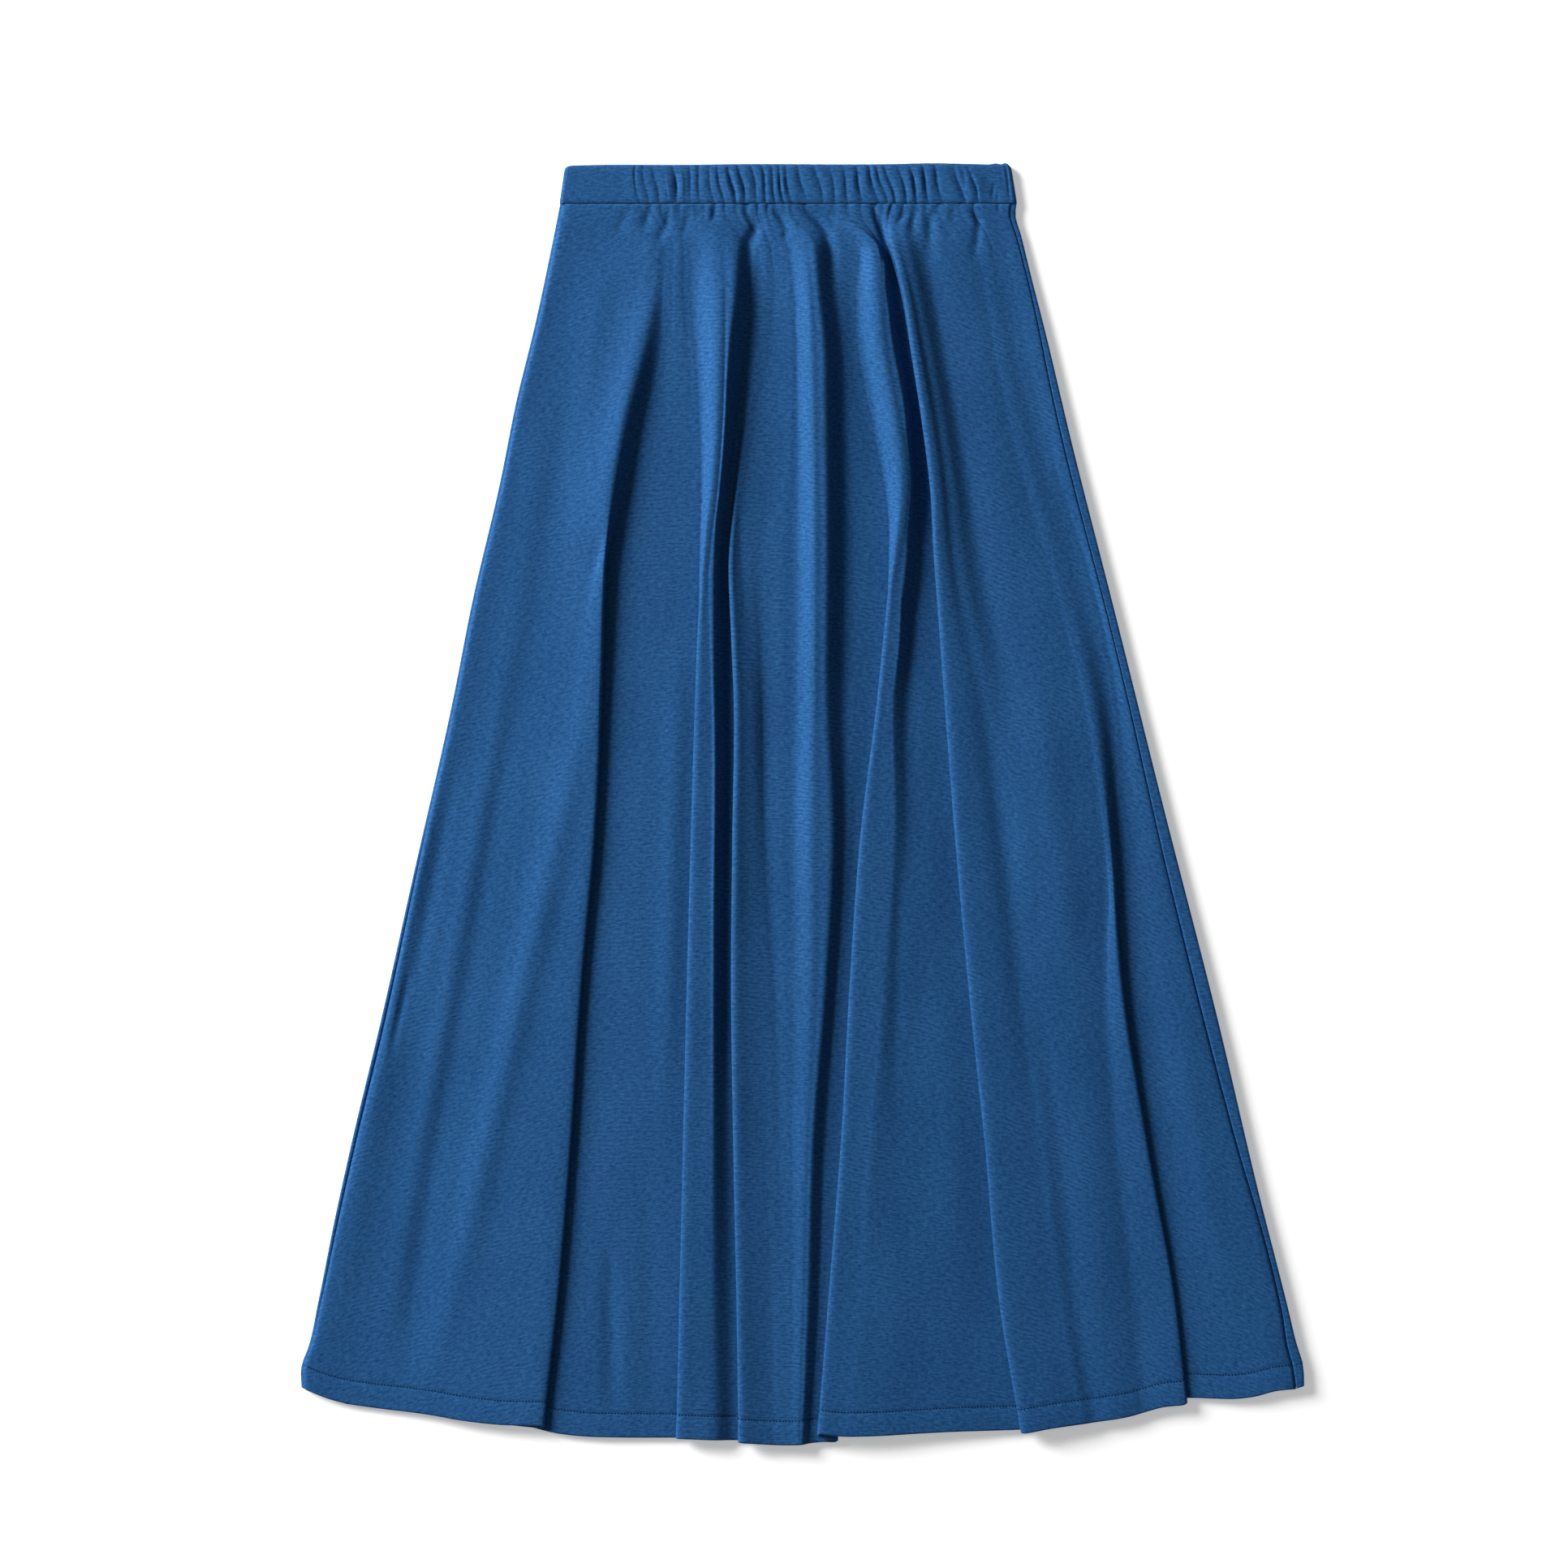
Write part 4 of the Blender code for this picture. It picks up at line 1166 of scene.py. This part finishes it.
    def middle(self) -> tuple[Array, Array, Array]:
        """The cloth's middle surface.

        Returns:
            The points, each point's drop, and each point's leaf number.
        """
        at_hem = self.across(np.array([self.hems[1][-1].drop]))
        last_roll = len(self.rolls) - 1
        columns, drops = [], []
        for j, (leaf, hem_x, _) in enumerate(at_hem):
            drop = self.row_drops(self.hem_drop(leaf, float(hem_x[0])))
            across = self.across(drop)
            _, x, z = across[j]
            if j >= last_roll:
                share = (j - last_roll) / (len(at_hem) - 1 - last_roll)
                even = mix(across[last_roll][1], across[-1][1], share)
                settled = ease((drop - SEAM_DROP) / self.settle)
                x, z = mix(even, x, settled), mix(self.seam_level, z, settled)
            columns.append(np.stack([x, WAIST_Y - drop, z], axis=1))
            drops.append(drop)
        control = np.stack(columns, axis=1)
        leaves = np.array([leaf for leaf, _, _ in at_hem], float)
        spans = np.linalg.norm(np.diff(control, axis=1), axis=2).max(axis=0)
        counts = np.clip(np.ceil(spans / self.longest_step), *self.step_counts)
        steps = counts.astype(int).tolist()
        known = [np.broadcast_to(leaves, control.shape[:2]), np.stack(drops, axis=1)]
        carried = refine_evenly(np.stack(known, axis=2), steps)
        return refine(control, steps), carried[:, :, 1], carried[:, :, 0]

    def on_leaf(self, leaf: Array, number: Number) -> Array:
        """1 on the open cloth of a leaf, fading to 0 where a fold begins."""
        return np.clip(1 - self.leaf_end_fade * np.abs(leaf - number), 0, 1)

    def shaped(self) -> tuple[Array, Array]:
        """Adds the gathers, waves and creases to the middle surface.

        Returns:
            The points, and each point's drop.
        """
        grid, drop, leaf = self.middle()
        x, z = grid[:, :, 0], grid[:, :, 2]
        seam_x = np.broadcast_to(x[:1], x.shape)
        first = int(np.argmax(seam_x[0] > self.outline.left[0].value + self.roll_width))
        open_top = np.arange(x.shape[1])[None, :] >= first
        z += np.where(open_top, self.gathers.lift(seam_x, x, drop), 0.0)
        for wave in self.waves:
            share = (drop - wave.drop_from) / (wave.drop_to - wave.drop_from)
            off = (x - mix(wave.x_from, wave.x_to, share)) / wave.half_width
            ends = ease(self.wave_fade * share), ease(self.wave_fade * (1 - share))
            shown = self.on_leaf(leaf, wave.leaf) * open_top
            z += wave.height * ends[0] * ends[1] * np.exp(-off * off) * shown
        for crease in self.creases:
            z -= np.where(open_top, crease_depth(crease, x, drop), 0.0)
        flat = self.on_leaf(leaf, np.round(leaf)) * open_top
        settled = ease((drop - self.ripple_from) / self.ripple_over)
        ripple = grain_ripple(x, drop, self.ripple_size, self.ripple_stretch, self.ripple_seed)
        z += self.ripple_height * ripple * flat * settled
        above = z - self.lowest
        rested = self.lowest + 0.5 * (above + np.sqrt(above * above + self.lowest_softness))
        z[:] = np.where(open_top, rested, z)
        return grid, drop

    def cut(self, grid: Array, drop: Array) -> Array:
        """Each point's place on the flat cloth, a sector whose grain runs down its middle.

        Args:
            grid: the middle surface's points.
            drop: each point's drop.

        Returns:
            The places, in millimetres.
        """
        radius = self.cut_radius + drop
        angle = arc_across(grid) / radius
        return np.stack([radius * np.sin(angle), -radius * np.cos(angle)], axis=2)

    def build(self) -> tuple[bpy.types.Object, Array, Array]:
        """Builds the panel as one sheet with its hem turned under.

        Returns:
            The piece, and the points and normals of its hem's stitch line.
        """
        grid, drop = self.shaped()
        cut = self.cut(grid, drop)
        normals = surface_normals(grid)
        stitch = self.stitch_row()
        thick = np.full(len(grid), self.wall)
        thick[stitch + 1 :] = self.hem_wall
        thick[stitch - 1 : stitch - 1 + len(self.stitch_walls)] = self.stitch_walls
        half = (thick / 2)[:, None, None]
        outer, inner = grid + normals * half, grid - normals * half
        outer[:, -len(self.seam_dip) :, 2] -= self.seam_dip
        closing = outer[:, -1:] + np.array([self.outline.seam_gap, 0.0, -self.seam_tuck])
        edge = grid[-1:] + np.array([0.0, -self.hem_round, 0.0])
        hidden = np.concatenate([edge, inner[-1:], inner[-3:-2], inner[stitch : stitch + 1]])
        tucked = [outer[:1] + np.array([0.0, *move]) for move in self.under_band]
        for row in tucked:
            row[:, :, 2] = np.maximum(row[:, :, 2], self.wall / 2)
        points = np.concatenate([*tucked, outer, hidden])
        turned = [cut[-1:], cut[-1:], cut[-3:-2], cut[stitch : stitch + 1]]
        flat = np.concatenate([cut[:1], cut[:1], cut, *turned])
        side = np.concatenate([closing[:1], closing[:1], closing, closing[-1:].repeat(4, axis=0)])
        points = np.concatenate([points, side], axis=1)
        flat = np.concatenate([flat, flat[:, -1:]], axis=1)
        made = cloth_object("front_cloth", points, flat)
        return made, outer[stitch], normals[stitch]


@dataclass(frozen=True)
class BackPanel(Panel):
    """The plain back panel: flat on the surface, then up round the right edge to the side seam."""

    left_inset: float = 6.3
    right_inset: float = 4.0
    edge_round: float = 1.5
    edge_steps: int = 10
    strip_shares: tuple[float, ...] = (0.75, 0.5, 0.25, 0.1)
    seam_dip: float = 0.45
    under_band: float = 1.5
    body_rows: int = 150
    seam_rows: tuple[float, ...] = (-3.0, -1.0, 0.0, 1.0)
    hem_rows: tuple[float, ...] = (9.0, 3.0, 0.8, 0.0)
    flat_columns: int = 56
    flat_size: tuple[float, float] = (0.78, 0.93)
    flat_area: float = 0.50
    hem: tuple[Hem, ...] = rows(
        Hem, (-371, 901), (-347, 914), (-336, 917.2), (-324, 918.6), (-305, 920.8), (-284, 923.4),
        (-238, 928), (-191, 929), (-90, 936), (0, 939), (60, 936), (162, 930), (270, 913),
        (340, 905), (365, 904.6), (372, 902.4),
    )

    def across(self, drop: Array) -> list[tuple[Array, Array]]:
        """Every column of the outer face at a drop.

        Args:
            drop: the drops to read them at.

        Returns:
            The columns, each as (x, z).
        """
        left = read(self.outline.left, "value", drop) + self.left_inset
        right = read(self.outline.right, "value", drop)
        seam = self.outline.seam_x(drop) + self.outline.seam_gap / 2
        top = read(self.outline.seam_height, "value", drop) + self.wall / 2
        shares = np.linspace(0, 1, self.flat_columns)
        points = [(mix(left, right - self.right_inset, s), np.zeros_like(drop)) for s in shares]
        for angle in np.linspace(-0.5 * math.pi, 0.5 * math.pi, self.edge_steps + 1)[1:]:
            x = right + self.edge_round * (math.cos(angle) - 1)
            points.append((x, top / 2 + (top / 2) * math.sin(angle)))
        reach = right - self.edge_round - seam
        points += [(seam + reach * share, top) for share in self.strip_shares]
        return [*points, (seam, top - self.seam_dip)]

    def build(self) -> tuple[bpy.types.Object, Array, Array]:
        """Builds the panel with its wall.

        Returns:
            The piece, and the points and normals of its hem's stitch line.
        """
        columns, drops = [], []
        nominal = np.array([self.outline.left[-1].drop], float)
        for j, (x, _) in enumerate(self.across(nominal)):
            hem = float(read(self.hem, "drop", x[0], "x"))
            seam = hem - self.hem_depth + np.array(self.seam_rows)
            top = self.top - self.under_band
            body = np.linspace(top, seam[0], self.body_rows, endpoint=False)
            drop = np.concatenate([body, seam, hem - np.array(self.hem_rows)])
            x, z = self.across(drop)[j]
            columns.append(np.stack([x, WAIST_Y - drop, z], axis=1))
            drops.append(drop)
        grid, drop = np.stack(columns, axis=1), np.stack(drops, axis=1)
        cut = np.stack([arc_across(grid), -drop], axis=2)
        made = cloth_object("back_cloth", grid, cut)
        self.thicken(made, grid.shape)
        stitch = self.body_rows + self.seam_rows.index(0.0)
        return made, grid[stitch], -surface_normals(grid)[stitch]

    def thicken(self, made: bpy.types.Object, shape: tuple[int, ...]) -> None:
        """Gives the sheet its wall, thicker below the hem's stitches.

        Args:
            made: the piece.
            shape: its grid's rows and columns.
        """
        group = made.vertex_groups.new(name="wall")
        down, across = shape[:2]
        below = (down - 1 - len(self.hem_rows)) * across
        group.add(list(range(below)), self.wall / self.hem_wall, "REPLACE")
        group.add(list(range(below, down * across)), 1.0, "REPLACE")
        wall = made.modifiers.new("wall", "SOLIDIFY")
        wall.thickness = self.hem_wall * MM
        wall.offset = 1.0
        wall.vertex_group = "wall"


@dataclass(frozen=True)
class Waistband:
    """The ruched band over its elastic, a closed tube pressed flat."""

    gathers: Gathers = Gathers()
    depth: float = SEAM_DROP
    wall: float = 2.8
    slit: float = 0.4
    corner: float = 3.0
    top_left: float = -176.0
    top_right: float = 154.3
    flare_left: float = 4.2
    flare_right: float = 4.6
    slant_left: float = 0.22
    slant_right: float = 0.16
    step: float = 0.75
    back_stations: int = 70
    turn_stations: int = 12
    stitch_column: int = 2
    top_round: float = 3.0
    scallop_share: float = 0.25
    sway: float = 1.1
    side_fade: float = 8.0
    left_reach: float = 9.0
    right_reach: float = 10.0
    ruche_height: float = 1.45
    ruche_power: float = 0.6
    ruche_level: float = 0.66
    flat_size: tuple[float, float] = (0.72, 0.056)
    bumps: tuple[Bump, ...] = rows(Bump, (143.0, 0.9, 3.2), (150.2, 1.5, 2.4))
    top_rise: tuple[Rise, ...] = rows(
        Rise, (-176, 0.3), (-150, 0.9), (-84, 1.0), (-54, 1.4), (66, 1.5), (96, 2.1), (126, 1.5),
        (152, 0.8),
    )
    creases: tuple[Crease, ...] = rows(
        Crease,
        (((141.9, 15), (140.6, 21), (140.1, 26)), 0.9, 1.5),
        (((144.6, 20), (143.6, 27)), 0.8, 1.4),
        (((149.6, -1), (151.2, 7), (152.6, 19), (153.6, 29)), 0.9, 0.9),
        (((117, 3), (120, 12), (121, 22)), 0.7, 1.8),
    )

    def section(self) -> Array:
        """The section round the band's wall, from the seam up over the top edge and back.

        Returns:
            Rows of (drop, outward share of half the wall).
        """
        rounded = [(28.15, 0.25), (27.9, 0.62), (27.4, 0.72), (26.6, 0.92), (25.4, 1.0)]
        face = [(d, 1.0) for d in np.linspace(23.0, 5.0, 10)]
        edge = [(2.4, 0.97), (1.2, 0.82), (0.4, 0.5), (0.0, 0.0), (0.4, -0.5), (1.2, -0.82)]
        back = [(2.4, -1.0), (14.0, -1.0), (27.6, -1.0), (28.15, -0.3)]
        return np.array([*rounded, *face, *edge, *back])

    def stations(self) -> list[tuple[float, float, float, float, bool]]:
        """The stations round the band.

        Returns:
            For each, its share of the way across, height, outward x and z, and if it is in front.
        """
        width = self.top_right - self.top_left
        bottom, top = self.wall / 2, 1.5 * self.wall + self.slit
        radius, middle = (top - bottom) / 2, (top + bottom) / 2
        inset = (radius + self.wall / 2) / width
        shares = np.linspace(inset, 1 - inset, int(width / self.step))
        found = [(float(share), top, 0.0, 1.0, True) for share in shares]
        turns = [math.pi * (k + 0.5) / self.turn_stations for k in range(self.turn_stations)]
        backs = [float(share) for share in np.linspace(1 - inset, inset, self.back_stations)]
        for way, corner in ((1, 1 - inset), (-1, inset)):
            for angle in turns:
                side, up = way * math.sin(angle), way * math.cos(angle)
                place = corner + side * radius / width
                found.append((place, middle + up * radius, side, up, False))
            if way == 1:
                found += [(share, bottom, 0.0, -1.0, False) for share in backs]
        return found

    def ruche(self, x: Array, drop: Array) -> Array:
        """How far the ruched cloth stands out on the front of the band.

        Args:
            x: the stations' places before they slant.
            drop: the points' drops.

        Returns:
            The height at each point.
        """
        pleats = self.gathers.pleats
        sway = self.sway * np.sin(drop / 6.0 + x / 9.0)
        phase = self.gathers.phase(x + sway)
        deep = self.gathers.nearest(phase, "depth")
        left, right = pleats[0].x - self.left_reach, pleats[-1].x + self.right_reach
        inside = ease((x - left) / self.side_fade) * ease((right - x) / self.side_fade)
        down = np.clip(drop / self.depth, 0.0, 1.0)
        fullness = 0.25 + 0.75 * np.sin(np.pi * down)
        uneven = 1.0 + 0.3 * np.sin(4.0 * down + x / 7.0)
        round_top = np.abs(np.sin(np.pi * phase)) ** self.ruche_power - self.ruche_level
        return self.ruche_height * deep * round_top * fullness * uneven * inside

    def build(self) -> tuple[bpy.types.Object, Array, Array]:
        """Builds the band.

        Returns:
            The piece, and the points and normals of its stitch line.
        """
        section, stations = self.section(), self.stations()
        columns = (np.array([station[k] for station in stations])[:, None] for k in range(5))
        share, height, side, up, front = columns
        out, shape = section[:, 1][None, :], (len(stations), len(section))
        drop = np.broadcast_to(section[:, 0][None, :], shape)
        near = np.clip(drop / self.corner, 0.0, 1.0)
        corner = self.corner * (1 - np.sqrt(1 - (1 - near) ** 2))
        left = self.top_left - self.flare_left * drop / self.depth + corner
        right = self.top_right + self.flare_right * drop / self.depth - corner
        upright = np.broadcast_to(mix(self.top_left, self.top_right, share), shape)
        slant = mix(self.slant_left, self.slant_right, share) * (drop - self.depth)
        slanted = np.where(front, slant * ease(8 * share * (1 - share)), 0.0)
        x = mix(left, right, share) + slanted
        lift = self.ruche(upright, drop)
        for crease in self.creases:
            lift = lift - crease_depth(crease, x, drop)
        on_face = np.clip(out, 0.0, 1.0) ** 0.5
        reach = out * self.wall / 2 + np.where(front, lift * on_face, 0.0)
        scallop = np.where(front & (drop < self.top_round), self.scallop_share * lift, 0.0)
        bumps = sum(b.height * np.exp(-(((x - b.x) / b.half_width) ** 2)) for b in self.bumps)
        raised = scallop + bumps * ease((self.top_round - drop) / self.top_round)
        top_rise = read(self.top_rise, "height", x, "x")
        raised += top_rise * np.clip(1 - drop / self.depth, 0.0, 1.0)
        place = [x + side * reach, WAIST_Y - drop + raised, height + up * reach]
        points = np.stack(place, axis=2)
        around = np.cumsum(np.full(len(stations), self.step))[:, None]
        steps = np.abs(np.diff(section[:, 0])) + 0.2
        along = np.concatenate([[0.0], np.cumsum(steps)])[None, :]
        cut = np.stack([np.broadcast_to(way, shape) for way in (around, along)], axis=2)
        ring = np.concatenate([points, points[:, :1]], axis=1)
        cut = np.concatenate([cut, cut[:, -1:]], axis=1)
        made = cloth_object("waistband_cloth", ring, cut, closed=True)
        normals = np.concatenate([side, np.zeros_like(side), up], axis=1)
        return made, points[:, self.stitch_column], normals


@dataclass(frozen=True)
class StitchRow:
    """A row of lockstitches: short raised threads, each dipping into the cloth at its ends."""

    name: str
    stitch: float = 1.6
    gap: float = 0.75
    radius: float = 0.4
    sink: float = 0.12
    rings: int = 5
    sides: int = 6
    seat: float = 0.4
    thin: float = 0.55
    swell: float = 0.45

    def build(self, path: Array, normals: Array) -> bpy.types.Object:
        """Lays the stitches along a line on the cloth.

        Args:
            path: the line's points.
            normals: the cloth's outward normal at each.

        Returns:
            The threads as one piece.
        """
        arc = np.concatenate([[0.0], np.cumsum(np.linalg.norm(np.diff(path, axis=0), axis=1))])
        pitch = self.stitch + self.gap
        verts: list[list[float]] = []
        faces: list[list[int]] = []
        for n in range(int(arc[-1] / pitch)):
            at = n * pitch + np.linspace(0.0, self.stitch, self.rings)
            lines = ([np.interp(at, arc, line[:, k]) for k in range(3)] for line in (path, normals))
            centre, up = (np.stack(line, axis=1) for line in lines)
            ahead = np.gradient(centre, axis=0)
            ahead /= np.maximum(np.linalg.norm(ahead, axis=1, keepdims=True), 1e-9)
            side = np.cross(ahead, up)
            start = len(verts)
            for k in range(self.rings):
                bow = math.sin(math.pi * k / (self.rings - 1))
                lift = bow * (self.radius + self.sink) - self.sink - self.radius * self.seat
                middle = centre[k] + up[k] * lift
                size = self.radius * (self.thin + self.swell * bow)
                for m in range(self.sides):
                    turn = 2 * math.pi * m / self.sides
                    spot = middle + size * (math.cos(turn) * side[k] + math.sin(turn) * up[k])
                    verts.append((spot * MM).tolist())
            for k in range(self.rings - 1):
                for m in range(self.sides):
                    ring = start + k * self.sides
                    a, b = ring + m, ring + (m + 1) % self.sides
                    faces.append([a, b, b + self.sides, a + self.sides])
            end = start + (self.rings - 1) * self.sides
            faces.append([start + m for m in reversed(range(self.sides))])
            faces.append([end + m for m in range(self.sides)])
        mesh = bpy.data.meshes.new(self.name)
        mesh.from_pydata(verts, [], faces)
        mesh.shade_smooth()
        return placed(self.name, mesh)


@dataclass(frozen=True)
class Studio:
    """White floor, soft key light from the upper left and the camera straight above."""

    camera_height: float = 3.0
    frame_width: float = 1.1592
    centre: tuple[float, float] = (-0.0138, 0.0156)
    cloth_level: float = 0.008
    sensor: float = 36.0
    floor_size: float = 30.0
    floor_level: float = -0.0003
    key_place: tuple[float, float, float] = (-4.13, 2.73, 2.0)
    key_size: float = 2.5
    key_power: float = 720.0
    sky: float = 0.15

    def build(self, floor_finish: bpy.types.Material) -> None:
        """Makes the floor, the lights and the camera.

        Args:
            floor_finish: the floor's material.
        """
        scene = bpy.context.scene
        half = self.floor_size / 2
        mesh = bpy.data.meshes.new("floor")
        ends = [(-half, -half), (half, -half), (half, half), (-half, half)]
        mesh.from_pydata([(x, y, self.floor_level) for x, y in ends], [], [(0, 1, 2, 3)])
        mesh.materials.append(floor_finish)
        floor = placed("floor", mesh)
        self.light("key", self.key_place, self.key_size, self.key_power)
        world = bpy.data.worlds.new("studio")
        world.use_nodes = True
        sky = world.node_tree.nodes["Background"].inputs
        sky["Color"].default_value = (1.0, 1.0, 1.0, 1.0)
        sky["Strength"].default_value = self.sky
        scene.world = world
        scene.view_settings.view_transform = "Standard"
        data = bpy.data.cameras.new("camera")
        data.sensor_width = self.sensor
        data.lens = self.sensor * (self.camera_height - self.cloth_level) / self.frame_width
        camera = placed("camera", data)
        camera.location = (*self.centre, self.camera_height)
        scene.camera = camera

    def light(self, name: str, place: tuple[float, ...], size: float, power: float) -> None:
        """Adds one square soft light that faces the skirt.

        Args:
            name: the light's name.
            place: where it hangs, in metres.
            size: the length of its side.
            power: its strength in watts.
        """
        data = bpy.data.lights.new(name, "AREA")
        data.size = size
        data.energy = power
        made = placed(name, data)
        made.location = place
        made.rotation_euler = (-Vector(place)).to_track_quat("-Z", "Y").to_euler()


def dress(piece: bpy.types.Object, finish: bpy.types.Material) -> None:
    """Gives a piece its finish, rides it on the skirt and reports it.

    Args:
        piece: the piece.
        finish: its material.
    """
    piece.data.materials.append(finish)
    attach(piece, "root")
    LOG.info("%s: %d faces", piece.name, len(piece.data.polygons))


def corners(bounds: tuple[Vector, Vector]) -> list[list[float]]:
    """A box's two corners as plain numbers."""
    return [[float(value) for value in corner] for corner in bounds]


def main() -> None:
    """Builds the skirt and its studio, and reports each piece."""
    logging.basicConfig(level=logging.INFO, format="%(message)s")
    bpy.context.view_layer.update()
    thread = ThreadFinish().material()
    front_panel, back_panel, band = FrontPanel(), BackPanel(), Waistband()

    front, front_line, front_up = front_panel.build()
    dress(front, JerseyFinish("front_jersey").material())
    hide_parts("front_panel")
    front_hem = StitchRow("front_hem_stitches").build(front_line, front_up)
    dress(front_hem, thread)

    back, back_line, back_up = back_panel.build()
    dress(back, JerseyFinish("back_jersey").material())
    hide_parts("back_panel")
    back_hem = StitchRow("back_hem_stitches", radius=0.2).build(back_line, back_up)
    dress(back_hem, thread)

    waist, waist_line, waist_up = band.build()
    dress(waist, JerseyFinish("waistband_jersey").material())
    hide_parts("waistband")
    waist_row = StitchRow("waist_seam_stitches", stitch=1.1, gap=0.6, radius=0.26)
    waist_seam = waist_row.build(waist_line, waist_up)
    dress(waist_seam, thread)

    Studio().build(FloorFinish().material())


if __name__ == "__main__":
    main()
